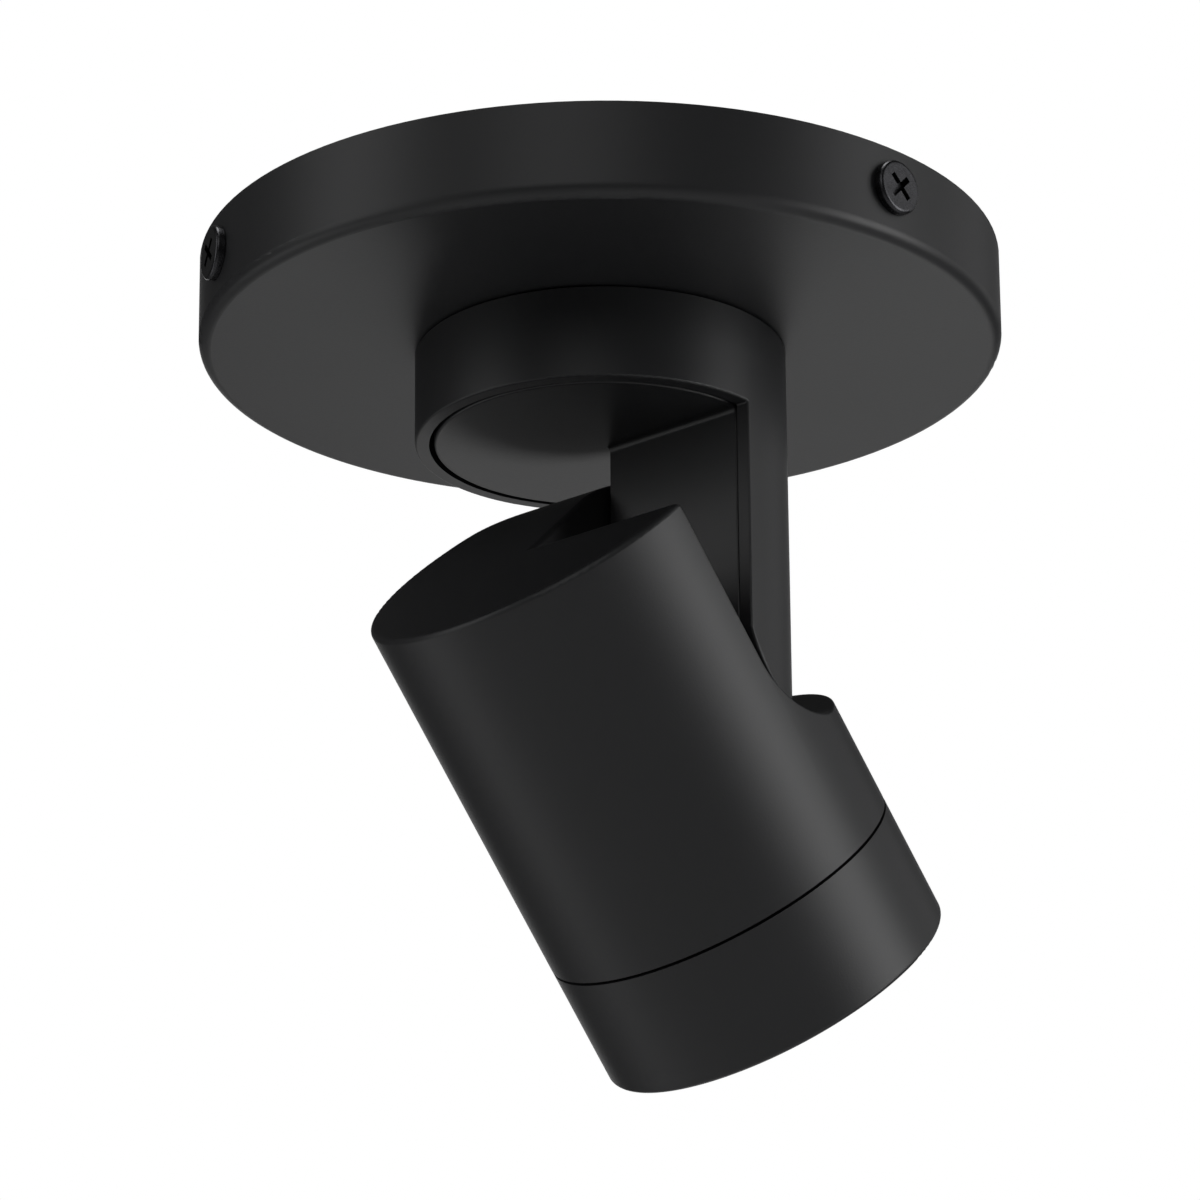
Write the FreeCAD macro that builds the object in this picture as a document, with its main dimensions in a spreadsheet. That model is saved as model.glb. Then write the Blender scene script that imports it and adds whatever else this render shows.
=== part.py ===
import FreeCAD, Part
import Sketcher
import math
import os
import re

# Ceiling spotlight: a round pan on the ceiling, a collar with a half-round arm that turns
# under it, and a drum-shaped lamp head that tilts on the arm.
# Lengths are millimetres. The origin is the middle of the pan's ceiling face and +Z is up.
# +X is the side that the lamp face tilts to, and the tilt axis runs along Y.

Vector = FreeCAD.Vector
doc = FreeCAD.newDocument("CeilingSpotlight")

# Driving sizes: name, value, what it measures
drivingSizes = [
    ("canopyRadius", 65, "ceiling pan, outside"),
    ("canopyHeight", 15.5, "ceiling pan, ceiling to underside"),
    ("canopyWall", 1.2, "ceiling pan, sheet thickness"),
    ("canopyEdge", 2, "rounding of the pan's lower edge"),
    ("plateInset", 5, "mounting plate's rim inside the pan's outside"),
    ("plateOpening", 32, "mounting plate, radius of the wiring hole"),
    ("plateThickness", 1.5, "mounting plate sheet"),
    ("boxScrewSpacing", 88.9, "ceiling box slots, middle to middle"),
    ("boxSlotRadius", 2.4, "ceiling box slots, half width"),
    ("boxSlotLength", 15, "ceiling box slots, end to end"),
    ("terminalPlateGap", 6, "terminal block outside the wiring hole"),
    ("tabWidth", 12, "bent tab that a side screw enters"),
    ("tabDrop", 10.5, "bent tab, height"),
    ("tabGap", 0.6, "bent tab to pan wall"),
    ("sideScrewTurn", -94.3, "angle of the first of the three side screws"),
    ("sideScrewSpread", 113.9, "angle from the first side screw to the second"),
    ("sideScrewDrop", 6.8, "side screws below the ceiling"),
    ("sideScrewRadius", 1.95, "side screw shank"),
    ("sideScrewLength", 6.5, "side screw under its head"),
    ("sideHeadRadius", 4.4, "side screw head"),
    ("sideHeadHeight", 1.5, "side screw head"),
    ("sideHeadEdge", 0.6, "rounding of the side screw head"),
    ("recessLength", 4.9, "cross recess, tip to tip"),
    ("recessWidth", 1.0, "cross recess, one arm"),
    ("recessDepth", 1.2, "cross recess"),
    ("recessTurn", 45, "cross recess, turned from upright"),
    ("holeClearance", 0.25, "screw hole round a screw"),
    ("threadClearance", 0.05, "tapped hole or pressed hole round its screw or pin"),
    ("runClearance", 0.05, "hole that turns on a tube"),
    ("samePlace", 0.005, "two places nearer than this are the same one"),
    ("slideGap", 0.1, "flat faces that slide past each other"),
    ("seatGap", 0.3, "space between pieces that aren't pressed together"),
    ("tubeRadius", 5, "threaded tubes of the swivel and the hinge"),
    ("tubeBore", 3.2, "bore of the threaded tubes"),
    ("tubeSpare", 1, "thread left past a nut"),
    ("nutFlats", 14, "nuts across flats"),
    ("nutThickness", 2.5, "nuts"),
    ("toothWasherRadius", 8.4, "toothed washers"),
    ("toothWasherThickness", 0.8, "toothed washers"),
    ("swivelGap", 0.4, "pan underside to collar top"),
    ("washerRadius", 9, "nylon, slip and spring washers"),
    ("slipWasherRadius", 12.5, "slip washer between pan and collar"),
    ("nylonWasherThickness", 0.8, "nylon washers"),
    ("springWasherThickness", 0.4, "spring washer sheet"),
    ("springWasherRise", 0.5, "spring washer cone"),
    ("headRadius", 30, "lamp head, collar and arm, outside"),
    ("collarHeight", 15.1, "collar, top to lower lip"),
    ("collarTopWall", 3, "collar top"),
    ("collarWall", 2.3, "collar and arm wall, the visible lip"),
    ("stopInset", 7.7, "swivel stop pin inside the collar's bore"),
    ("stopPinRadius", 1, "swivel stop pin"),
    ("stopHeadRadius", 1.7, "swivel stop pin head"),
    ("stopHeadHeight", 0.8, "swivel stop pin head"),
    ("stopGrooveDepth", 1.6, "groove that the stop pin runs in"),
    ("stopRibWidth", 4.8, "rib that stops the pin"),
    ("armFlat", 1, "arm's flat lip from the swivel axis"),
    ("armEndReach", 0.2, "rounded arm end past the arm's outside"),
    ("kneeGap", 0.4, "arm and head side faces from the middle plane"),
    ("kneeWall", 3, "arm and head side walls at the hinge"),
    ("kneeClearingGap", 3, "space round the washers in the collar"),
    ("coverRecess", 0.8, "arm cover below the arm's lip"),
    ("coverThickness", 1.8, "arm cover sheet"),
    ("coverGap", 0.8, "groove round the arm cover"),
    ("coverFoot", 3.8, "arm cover below the hinge"),
    ("coverRounding", 0.4, "arm cover, rounded outer edge"),
    ("coverCorner", 0.9, "arm cover, inner corner"),
    ("postRadius", 1.5, "posts on the back of the arm cover"),
    ("postLength", 6, "posts on the back of the arm cover"),
    ("postTurn", 45, "angle of the first post"),
    ("postStep", 90, "angle from post to post"),
    ("postCount", 3, "posts on the back of the arm cover"),
    ("postBossWall", 1.6, "bosses that the posts press into"),
    ("postInset", 3.6, "bosses inside the collar's bore"),
    ("lipRounding", 0.35, "rounded edges of the collar lip and the arm"),
    ("hingeDrop", 31.9, "hinge below the collar lip"),
    ("restTilt", 43, "tilt at rest"),
    ("tiltRange", 90, "tilt from straight down to level"),
    ("tiltPinRadius", 1.2, "tilt stop pin"),
    ("tiltPinGap", 1, "tilt stop pin outside the hinge washers"),
    ("tiltPinTurn", 135, "tilt stop pin round the hinge"),
    ("lidHeight", 28.7, "closed end of the head above the hinge"),
    ("lidThickness", 3, "closed end of the head"),
    ("lidEdge", 0.9, "rounding of the closed end"),
    ("headWall", 3, "head wall"),
    ("pocketClearance", 0.8, "pocket round the rounded arm end"),
    ("pocketSlope", 5, "fall of the pocket floor to its outer edge, degrees"),
    ("pocketCorner", 1.2, "rounding where the pocket meets the closed end"),
    ("pocketEdge", 0.4, "rounding of the pocket's outer edges"),
    ("pocketWall", 2.5, "walls of the pocket"),
    ("seamDrop", 34.4, "head shell's lower edge below the hinge"),
    ("seamGap", 0.5, "seam between head shell and front ring"),
    ("neckStep", 2.5, "neck inside the head's outside"),
    ("neckWall", 1.5, "neck wall"),
    ("neckLength", 5, "neck below the seam"),
    ("neckRoot", 3, "neck above the seam"),
    ("lugRise", 0.8, "lugs on the neck, outwards"),
    ("lugHeight", 1.6, "lugs on the neck"),
    ("lugTurn", 24, "lugs on the neck, width in degrees"),
    ("lugCount", 3, "lugs on the neck"),
    ("lugPlay", 1, "play at a lug's ends, degrees"),
    ("ringTwist", 20, "front ring, locked to free"),
    ("rimDrop", 55.4, "front rim below the hinge"),
    ("rimEdge", 0.8, "rounding of the front rim"),
    ("ringClearance", 0.3, "front ring round the neck"),
    ("glassThickness", 2.6, "front glass"),
    ("glassClearance", 0.4, "front ring round the glass"),
    ("gasketThickness", 1.4, "gasket"),
    ("gasketWidth", 1.8, "gasket"),
    ("baffleStep", 2.5, "front opening at the glass inside the neck"),
    ("rimWall", 2.4, "front ring at the rim"),
    ("clipWireRadius", 0.5, "wire clip above the glass"),
    ("clipTurn", 330, "wire clip, degrees round"),
    ("sinkThickness", 4, "heat sink disc"),
    ("finThickness", 1.2, "heat sink fins"),
    ("finCount", 4, "heat sink fins"),
    ("finRise", 34, "heat sink fins above the disc"),
    ("finTubeGap", 3.8, "first heat sink fin to the end of the hinge tube"),
    ("finEdgeInset", 1.7, "last heat sink fin inside the disc's edge"),
    ("finBossGap", 0.65, "heat sink fins to the screw bosses"),
    ("bossRadius", 4.1, "screw bosses in the head"),
    ("bossInset", 4, "screw bosses inside the head wall"),
    ("bossTurn", 15, "first screw boss round the head axis"),
    ("bossCount", 3, "screw bosses"),
    ("sinkScrewRadius", 1.5, "heat sink screws"),
    ("sinkScrewLength", 12, "heat sink screws"),
    ("smallHeadRadius", 2.6, "heads of the heat sink screws"),
    ("smallHeadHeight", 1.8, "heads of the heat sink screws"),
    ("padThickness", 0.3, "thermal pad"),
    ("lightSide", 20, "light source board, each side"),
    ("lightCornerGap", 0.45, "light source board's corners to the holder"),
    ("emitterRadius", 7, "light source, yellow disc"),
    ("lightThickness", 1, "light source board"),
    ("emitterThickness", 0.4, "light source, yellow disc"),
    ("holderWall", 4, "light source holder wall"),
    ("holderLip", 1.5, "light source holder's window round the yellow disc"),
    ("throatGap", 0.4, "reflector's inner end round the holder's window"),
    ("reflectorInset", 1.8, "reflector's front inside the neck's bore"),
    ("holderHeight", 4.3, "light source holder"),
    ("portDepth", 2.6, "cable port of the light source holder"),
    ("holderScrewRadius", 1, "light source holder screws"),
    ("holderScrewLength", 5.3, "light source holder screws"),
    ("holderScrewTurn", 105, "light source holder screws round the axis"),
    ("holderHeadRadius", 1.6, "light source holder screw heads"),
    ("holderHeadHeight", 1.2, "light source holder screw heads"),
    ("reflectorWall", 1, "reflector"),
    ("reflectorFlange", 0.8, "reflector flange"),
    ("reflectorSweep", 34, "reflector, radius of its curve"),
    ("cableRadius", 1.5, "two-core lamp cable"),
    ("cableNotch", 2.2, "notch in the heat sink for the lamp cable"),
    ("cableBendPlace", 24, "lamp cable's turn towards the swivel, from the swivel axis"),
    ("cableCrest", 4.3, "lamp cable over the swivel tube, below the ceiling"),
    ("wireRadius", 1.1, "single wires"),
    ("driverLength", 50, "driver case, along Y"),
    ("driverWasherGap", 7.6, "driver case to the swivel's toothed washer"),
    ("driverCornerGap", 8.7, "driver case's corners to the pan wall"),
    ("driverHeight", 9, "driver case without its lid"),
    ("driverWall", 1.2, "driver case and lid walls"),
    ("driverLedge", 1, "ledge that carries the driver board"),
    ("driverPad", 0.5, "adhesive pad under the driver"),
    ("boardThickness", 1.2, "driver circuit board"),
    ("boardRise", 1.2, "driver circuit board above the case floor"),
    ("plugLength", 16, "driver terminals, along X"),
    ("plugDepth", 6, "driver terminals, along Y"),
    ("plugHeight", 5, "driver terminals"),
    ("plugHoleDepth", 4, "driver terminals, wire hole"),
    ("leadRise", 3.2, "wires above the driver board"),
    ("leadSpacing", 7, "mains wires at the driver"),
    ("leadRun", 8, "straight run of the wires outside the driver and the terminal block"),
    ("transformerLength", 15, "driver transformer"),
    ("transformerWidth", 12, "driver transformer"),
    ("transformerHeight", 4.8, "driver transformer"),
    ("capacitorRadius", 2.4, "driver capacitor"),
    ("capacitorLength", 13, "driver capacitor"),
    ("terminalLength", 30, "terminal block, along Y"),
    ("terminalWidth", 12, "terminal block, along X"),
    ("terminalHeight", 9.5, "terminal block"),
    ("poleSpacing", 9, "terminal block, pole to pole"),
    ("barrelRadius", 2.6, "brass barrels of the terminal block"),
    ("clampRadius", 1.4, "terminal clamp screws"),
    ("clampInset", 3, "terminal clamp screws from the block's side"),
    ("fixingRadius", 1.2, "screws that hold the terminal block"),
    ("fixingHeadRadius", 1.9, "screws that hold the terminal block"),
    ("fixingHeadHeight", 1.2, "screws that hold the terminal block"),
    ("groundScrewRadius", 2, "ground screw"),
    ("groundHeadRadius", 3.8, "ground screw head"),
    ("groundHeadHeight", 2.2, "ground screw head"),
    ("tagThickness", 0.8, "ring tag under the ground screw"),
    ("tagBarrelWall", 0.5, "ring tag, crimped barrel"),
    ("tagBarrelLength", 6, "ring tag, crimped barrel"),
    ("slotWidth", 0.8, "screwdriver slots"),
    ("slotDepth", 0.7, "screwdriver slots"),
    ("overrun", 2, "how far a cutting shape runs past what it cuts"),
]

# The lamp cable's places in the collar and the head: name, share of the head's radius, what it measures
lampCableShares = [
    ("cableHeadX", 0.5267, "past the heat sink, across the hinge"),
    ("cableHeadY", 0.6, "past the heat sink, along the hinge"),
    ("cableArmSide", 0.3167, "in the collar, from both axes"),
    ("cableArmHalfway", 0.5667, "halfway down the arm, from the middle plane"),
    ("cableArmOut", 0.65, "at the hinge, from the middle plane"),
]


# Sizes that follow from the driving sizes, as formulas on their names
workedSizes = [(name, "%g * headRadius" % share) for name, share, _ in lampCableShares] + [
    ("plateRadius", "canopyRadius - plateInset"),
    ("canopyUnder", "-canopyHeight"),
    ("canopyFloor", "-canopyHeight + canopyWall"),
    ("canopyInside", "canopyRadius - canopyWall"),
    ("plateUnder", "-plateThickness"),
    ("tabFace", "canopyInside - tabGap"),
    ("nutRadius", "nutFlats / sqrt(3)"),
    ("tubeHole", "tubeRadius + runClearance"),
    ("upperNutFoot", "canopyFloor + toothWasherThickness"),
    ("tubeTop", "upperNutFoot + nutThickness + tubeSpare"),
    ("collarTop", "canopyUnder - swivelGap"),
    ("collarLip", "collarTop - collarHeight"),
    ("collarCeiling", "collarTop - collarTopWall"),
    ("nylonFoot", "collarCeiling - nylonWasherThickness"),
    ("springTop", "nylonFoot - slideGap"),
    ("lowerNutTop", "springTop - springWasherThickness - springWasherRise"),
    ("lowerNutFoot", "lowerNutTop - nutThickness"),
    ("tubeFoot", "lowerNutFoot - tubeSpare"),
    ("boreRadius", "headRadius - collarWall"),
    ("discRadius", "boreRadius - coverGap"),
    ("stopRadius", "boreRadius - stopInset"),
    ("kneeClearing", "washerRadius + kneeClearingGap"),
    ("postPlace", "boreRadius - postInset - postBossWall - postRadius"),
    ("hingeOffset", "headRadius / 2"),
    ("armEndRadius", "headRadius - hingeOffset + armEndReach"),
    ("coverFace", "armFlat + coverRecess"),
    ("coverBack", "coverFace + coverThickness"),
    ("discTop", "collarLip + coverThickness"),
    ("hingeHeight", "collarLip - hingeDrop"),
    ("armEndInner", "armEndRadius - collarWall"),
    ("kneeInner", "kneeGap + kneeWall"),
    ("armNutFoot", "kneeInner + toothWasherThickness"),
    ("armNutEnd", "armNutFoot + nutThickness"),
    ("tubeArmEnd", "armNutEnd + tubeSpare"),
    ("nylonEnd", "kneeInner + nylonWasherThickness"),
    ("springStart", "nylonEnd + slideGap"),
    ("headNutFoot", "springStart + springWasherThickness + springWasherRise"),
    ("headNutEnd", "headNutFoot + nutThickness"),
    ("tubeHeadEnd", "headNutEnd + tubeSpare"),
    ("headPlaceX", "hingeOffset - hingeOffset * cos(restTilt)"),
    ("headPlaceZ", "hingeHeight - hingeOffset * sin(restTilt)"),
    ("pocketRadius", "armEndRadius + pocketClearance"),
    ("pocketOuter", "pocketRadius + pocketWall"),
    ("lidUnder", "lidHeight - lidThickness"),
    ("chamberRadius", "headRadius - headWall"),
    ("bossPlace", "chamberRadius - bossInset"),
    ("bossLength", "pocketOuter - washerRadius"),
    ("tiltPinThrow", "washerRadius + tiltPinRadius + tiltPinGap"),
    ("neckRadius", "headRadius - neckStep"),
    ("lugRadius", "neckRadius + lugRise"),
    ("baffleRadius", "neckRadius - baffleStep"),
    ("mouthRadius", "headRadius - rimWall"),
    ("neckBore", "neckRadius - neckWall"),
    ("neckFoot", "-seamDrop - neckLength"),
    ("ringTop", "-seamDrop - seamGap"),
    ("ringBore", "neckRadius + ringClearance"),
    ("lugTrack", "lugRadius + ringClearance"),
    ("lugTop", "neckFoot + lugHeight"),
    ("sinkTop", "-pocketOuter - seatGap"),
    ("sinkFoot", "sinkTop - sinkThickness"),
    ("sinkRadius", "neckBore - slideGap"),
    ("finStart", "tubeHeadEnd + finTubeGap"),
    ("finPitch", "(sinkRadius - finEdgeInset - finThickness - finStart) / (finCount - 1)"),
    ("finLength", "-2 * (bossPlace * cos(bossTurn + 360 / bossCount) + bossRadius + finBossGap)"),
    ("holderSkirt", "lightSide / sqrt(2) + lightCornerGap"),
    ("holderRadius", "holderSkirt + holderWall"),
    ("holderScrewPlace", "holderRadius - holderWall / 2"),
    ("holderWindow", "emitterRadius + holderLip"),
    ("reflectorThroat", "holderWindow + throatGap"),
    ("reflectorMouth", "neckBore - reflectorInset"),
    ("lightTop", "sinkFoot - padThickness"),
    ("lightFoot", "lightTop - lightThickness"),
    ("emitterFoot", "lightFoot - emitterThickness"),
    ("holderFoot", "sinkFoot - holderHeight"),
    ("holderHeadSeat", "holderFoot + holderHeadHeight"),
    ("reflectorTop", "holderFoot - seatGap"),
    ("flangeRadius", "neckBore - threadClearance"),
    ("gasketTop", "neckFoot - seatGap"),
    ("glassTop", "gasketTop - gasketThickness"),
    ("glassFoot", "glassTop - glassThickness"),
    ("glassRadius", "ringBore - glassClearance"),
    ("gasketRadius", "glassRadius - clipWireRadius - threadClearance"),
    ("clipHeight", "glassTop + clipWireRadius"),
    ("driverFoot", "canopyFloor + driverPad"),
    ("driverTop", "driverFoot + driverHeight"),
    ("driverLidTop", "driverTop + driverWall"),
    ("driverEnd", "driverLength / 2"),
    ("driverInner", "-toothWasherRadius - driverWasherGap"),
    ("driverOuter", "driverCornerGap - sqrt(canopyInside ^ 2 - driverEnd ^ 2)"),
    ("driverMiddle", "(driverInner + driverOuter) / 2"),
    ("driverInside", "driverEnd - driverWall"),
    ("boardFoot", "driverFoot + driverWall + boardRise"),
    ("boardTop", "boardFoot + boardThickness"),
    ("leadHeight", "boardTop + leadRise"),
    ("leadStart", "driverInside - threadClearance - plugHoleDepth"),
    ("terminalFoot", "plateUnder - terminalHeight"),
    ("terminalPlace", "plateOpening + terminalPlateGap"),
    ("terminalMiddle", "terminalPlace + terminalWidth / 2"),
    ("wireHeight", "(plateUnder + terminalFoot) / 2"),
    ("clampTop", "wireHeight - wireRadius - slideGap"),
    ("groundScrewPlace", "(plateOpening + plateRadius) / (2 * sqrt(2))"),
    ("tagFoot", "plateUnder - tagThickness"),
    ("tagBarrelRadius", "wireRadius + tagBarrelWall"),
    ("tagBarrelStart", "groundScrewPlace - groundHeadRadius - slideGap"),
    ("portRadius", "holderRadius - portDepth"),
    ("cablePlace", "sqrt(cableHeadX ^ 2 + cableHeadY ^ 2)"),
    ("portHeight", "(sinkFoot + holderFoot) / 2"),
]

sheetOf = {}


def fullNames(text):
    # puts each size's sheet name before it
    return re.sub(r"[A-Za-z]\w*", lambda word: sheetOf.get(word.group(), "") + word.group(), text)


def makeSheet(name, rows, isFormula):
    sheet = doc.addObject("Spreadsheet::Sheet", name)
    for number, row in enumerate(rows, start=1):
        cell = "B%d" % number
        sheet.set("A%d" % number, row[0])
        sheet.set(cell, "=" + fullNames(row[1]) if isFormula else str(row[1]))
        sheet.setAlias(cell, row[0])
        sheetOf[row[0]] = name + "."
        if not isFormula:
            sheet.set("C%d" % number, row[2])
    doc.recompute()
    return sheet


sizesSheet = makeSheet("Sizes", drivingSizes, False)
workedSheet = makeSheet("Worked", workedSizes, True)


def size(text):
    # the number that a formula on the size names comes to
    return float(workedSheet.evalExpression(fullNames(text)))


def bind(item, **formulas):
    for prop, text in formulas.items():
        item.setExpression(prop, fullNames(text))
    return item


def moveTo(item, x="0", y="0", z="0"):
    for axis, text in zip("xyz", (x, y, z)):
        item.setExpression("Placement.Base." + axis, fullNames(text))
    return item


turnsAlong = {
    "z": FreeCAD.Rotation(),
    "x": FreeCAD.Rotation(Vector(0, 1, 0), 90),
    "y": FreeCAD.Rotation(Vector(1, 0, 0), -90),
}


def makeBox(name, x, y, z):
    # a box from three (low, high) pairs of formulas
    box = doc.addObject("Part::Box", name)
    spans = ["(%s) - (%s)" % (high, low) for low, high in (x, y, z)]
    bind(box, Length=spans[0], Width=spans[1], Height=spans[2])
    return moveTo(box, x[0], y[0], z[0])


def standAlong(item, along, low, x, y, z):
    # puts a piece made on Z along an axis through x, y, z, from low on that axis
    item.Placement.Rotation = turnsAlong[along]
    starts = {"x": x, "y": y, "z": z}
    starts[along] = low
    return moveTo(item, **starts)


def makeRod(name, radius, low, high, x="0", y="0", z="0", along="z"):
    rod = doc.addObject("Part::Cylinder", name)
    bind(rod, Radius=radius, Height="(%s) - (%s)" % (high, low))
    return standAlong(rod, along, low, x, y, z)


def makeSector(name, outer, inner, low, high, start, turn):
    # a piece of a ring, from the angle start, round by the angle turn
    wedge = doc.addObject("Part::Cylinder", name + "Wedge")
    bind(wedge, Radius=outer, Height="(%s) - (%s)" % (high, low), Angle=turn)
    moveTo(wedge, z=low)
    hole = makeRod(name + "Hole", inner, "(%s) - overrun" % low, "(%s) + overrun" % high)
    return turnRound(cut(name, wedge, [hole]), start)


def turnRound(item, angle):
    # turns a piece about the Z axis
    item.Placement.Rotation = FreeCAD.Rotation(Vector(0, 0, 1), size(angle))
    item.setExpression("Placement.Rotation.Angle", fullNames(angle))
    return item


def makeHex(name, low, high, x="0", y="0", z="0", along="z"):
    prism = doc.addObject("Part::Prism", name)
    prism.Polygon = 6
    bind(prism, Circumradius="nutRadius", Height="(%s) - (%s)" % (high, low))
    return standAlong(prism, along, low, x, y, z)


def fuse(name, pieces):
    joined = doc.addObject("Part::MultiFuse", name)
    joined.Shapes = pieces
    joined.Refine = True
    return joined


def overlap(name, pieces):
    shared = doc.addObject("Part::MultiCommon", name)
    shared.Shapes = pieces
    return shared


def group(name, pieces):
    # separate solids that share one node
    compound = doc.addObject("Part::Compound", name)
    compound.Links = pieces
    return compound


def cut(name, base, tools):
    result = doc.addObject("Part::Cut", name)
    result.Base = base
    result.Tool = tools[0] if len(tools) == 1 else fuse(name + "Tools", tools)
    result.Refine = True
    return result


def makeRing(name, outer, inner, low, high, x="0", y="0", z="0", along="z"):
    rim = makeRod(name + "Rim", outer, low, high, x, y, z, along)
    span = ("(%s) - overrun" % low, "(%s) + overrun" % high)
    hole = makeRod(name + "Hole", inner, span[0], span[1], x, y, z, along)
    return cut(name, rim, [hole])


def makeNut(name, low, high, x="0", y="0", z="0", along="z"):
    blank = makeHex(name + "Blank", low, high, x, y, z, along)
    span = ("(%s) - overrun" % low, "(%s) + overrun" % high)
    hole = makeRod(name + "Hole", "tubeHole", span[0], span[1], x, y, z, along)
    return cut(name, blank, [hole])


def roundEdges(name, base, radius, isWanted, *more):
    # rounds the edges that isWanted picks by their place. more holds further (radius, isWanted) pairs.
    doc.recompute()
    rounded = doc.addObject("Part::Fillet", name)
    rounded.Base = base
    picked = []
    for reach, picks in ((radius, isWanted),) + more:
        numbers = [i for i, edge in enumerate(base.Shape.Edges, start=1) if picks(edge)]
        if not numbers:
            raise RuntimeError("no edge to round in " + name)
        picked += [(i, size(reach), size(reach)) for i in numbers]
    rounded.Edges = picked
    return rounded


def near(value, text):
    return abs(value - size(text)) < size("samePlace")


def isCircle(edge, radius):
    # an edge that runs round an axis at this radius
    return hasattr(edge.Curve, "Radius") and near(edge.Curve.Radius, radius)


def turnBody(name, points, arcs={}):
    # a turned piece: its half outline as (radius, height) formulas, spun about Z.
    # arcs gives the radius of each side that is curved, less than 0 where it turns clockwise.
    body = doc.addObject("PartDesign::Body", name)
    plane = [item for item in body.Origin.OriginFeatures if item.Role == "XZ_Plane"][0]
    sketch = body.newObject("Sketcher::SketchObject", name + "Outline")
    sketch.AttachmentSupport = [(plane, "")]
    sketch.MapMode = "FlatFace"
    places = [Vector(size(r), size(h), 0) for r, h in points]
    count = len(points)
    ends = []
    for i in range(count):
        start, end = places[i], places[(i + 1) % count]
        if i not in arcs:
            sketch.addGeometry(Part.LineSegment(start, end), False)
            ends.append((1, 2))
            continue
        bend = size(arcs[i])
        chord = end - start
        side = Vector(-chord.y, chord.x, 0).normalize() * math.copysign(1, bend)
        middle = (start + end) * 0.5 + side * math.sqrt(bend ** 2 - chord.Length ** 2 / 4)
        first, last = (start, end) if bend > 0 else (end, start)
        angles = [math.atan2(point.y - middle.y, point.x - middle.x) for point in (first, last)]
        circle = Part.Circle(middle, Vector(0, 0, 1), abs(bend))
        sketch.addGeometry(Part.ArcOfCircle(circle, angles[0], angles[1]), False)
        ends.append((1, 2) if bend > 0 else (2, 1))
        index = sketch.addConstraint(Sketcher.Constraint("Radius", i, abs(bend)))
        sketch.setExpression("Constraints[%d]" % index, fullNames("abs(%s)" % arcs[i]))
    for i in range(count):
        after = (i + 1) % count
        sketch.addConstraint(Sketcher.Constraint("Coincident", i, ends[i][1], after, ends[after][0]))
    for i, (point, place) in enumerate(zip(points, places)):
        for kind, text, value, axis in (
            ("DistanceX", point[0], place.x, -2),
            ("DistanceY", point[1], place.y, -1),
        ):
            corner = (i, ends[i][0])
            if value == 0:
                sketch.addConstraint(Sketcher.Constraint("PointOnObject", *corner, axis))
                continue
            pair = (-1, 1) + corner if value > 0 else corner + (-1, 1)
            index = sketch.addConstraint(Sketcher.Constraint(kind, *pair, abs(value)))
            sketch.setExpression("Constraints[%d]" % index, fullNames("abs(%s)" % text))
    spin = body.newObject("PartDesign::Revolution", name + "Turn")
    spin.Profile = sketch
    spin.ReferenceAxis = (sketch, ["V_Axis"])
    spin.Angle = 360
    body.Tip = spin
    return body


def makeSlot(name, length, width, depth, height, isUpright=False):
    # a screwdriver slot across a head that is height tall
    halfLength = ("-(%s) / 2" % length, "(%s) / 2" % length)
    halfWidth = ("-(%s) / 2" % width, "(%s) / 2" % width)
    x, y = (halfWidth, halfLength) if isUpright else (halfLength, halfWidth)
    return makeBox(name, x, y, ("(%s) - (%s)" % (height, depth), "(%s) + overrun" % height))


def makeScrew(name, shank, length, head, height):
    # a slotted screw on Z: its head stands on z = 0 and its shank hangs below
    stem = makeRod(name + "Stem", shank, "-(%s)" % length, "0")
    cap = makeRod(name + "Cap", head, "0", height)
    blank = fuse(name + "Blank", [stem, cap])
    slot = makeSlot(name + "Slot", "2 * (%s) + overrun" % head, "slotWidth", "slotDepth", height)
    return cut(name, blank, [slot])


def turnOver(item, x, y, z):
    # hangs a piece made on Z upside down at x, y, z
    item.Placement.Rotation = FreeCAD.Rotation(Vector(1, 0, 0), 180)
    return moveTo(item, x, y, z)


cornerShare = 0.45
sweepTolerance = 0.01


def makeCable(name, points, radius):
    # straight runs joined by arcs as large as the runs allow
    places = [Vector(*(size(text) for text in point)) for point in points]
    edges = []
    bends = []
    start = places[0]
    for before, corner, after in zip(places, places[1:], places[2:]):
        back = before - corner
        onward = after - corner
        turn = math.pi - back.getAngle(onward)
        setback = cornerShare * min(back.Length, onward.Length)
        bend = setback / math.tan(turn / 2)
        back.normalize()
        onward.normalize()
        inward = (back + onward).normalize()
        first = corner + back * setback
        last = corner + onward * setback
        crown = corner + inward * (bend / math.cos(turn / 2) - bend)
        edges.append(Part.LineSegment(start, first).toShape())
        edges.append(Part.Arc(first, crown, last).toShape())
        bends.append(round(bend, 1))
        start = last
    edges.append(Part.LineSegment(start, places[-1]).toShape())
    path = Part.Wire(edges)
    circle = Part.Circle(places[0], places[1] - places[0], size(radius))
    cable = doc.addObject("Part::Feature", name)
    cable.Shape = path.makePipeShell([Part.Wire(circle.toShape())], True, False)
    ideal = math.pi * size(radius) ** 2 * path.Length
    if abs(cable.Shape.Volume / ideal - 1) > sweepTolerance:
        raise RuntimeError("the route of %s doesn't sweep cleanly" % name)
    print(name, "bend radii", bends)
    return cable


nodes = []


def keep(item, label):
    item.Label = label
    nodes.append(item)
    return item


def keepOnHead(item, label):
    # the head's frame: Z is the head axis and z = 0 is level with the hinge
    held = group(item.Name + "OnHead", [item])
    held.Placement.Rotation = FreeCAD.Rotation(Vector(0, -1, 0), size("restTilt"))
    held.setExpression("Placement.Rotation.Angle", fullNames("restTilt"))
    moveTo(held, x="headPlaceX", z="headPlaceZ")
    return keep(held, label)


# Ceiling pan

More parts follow.
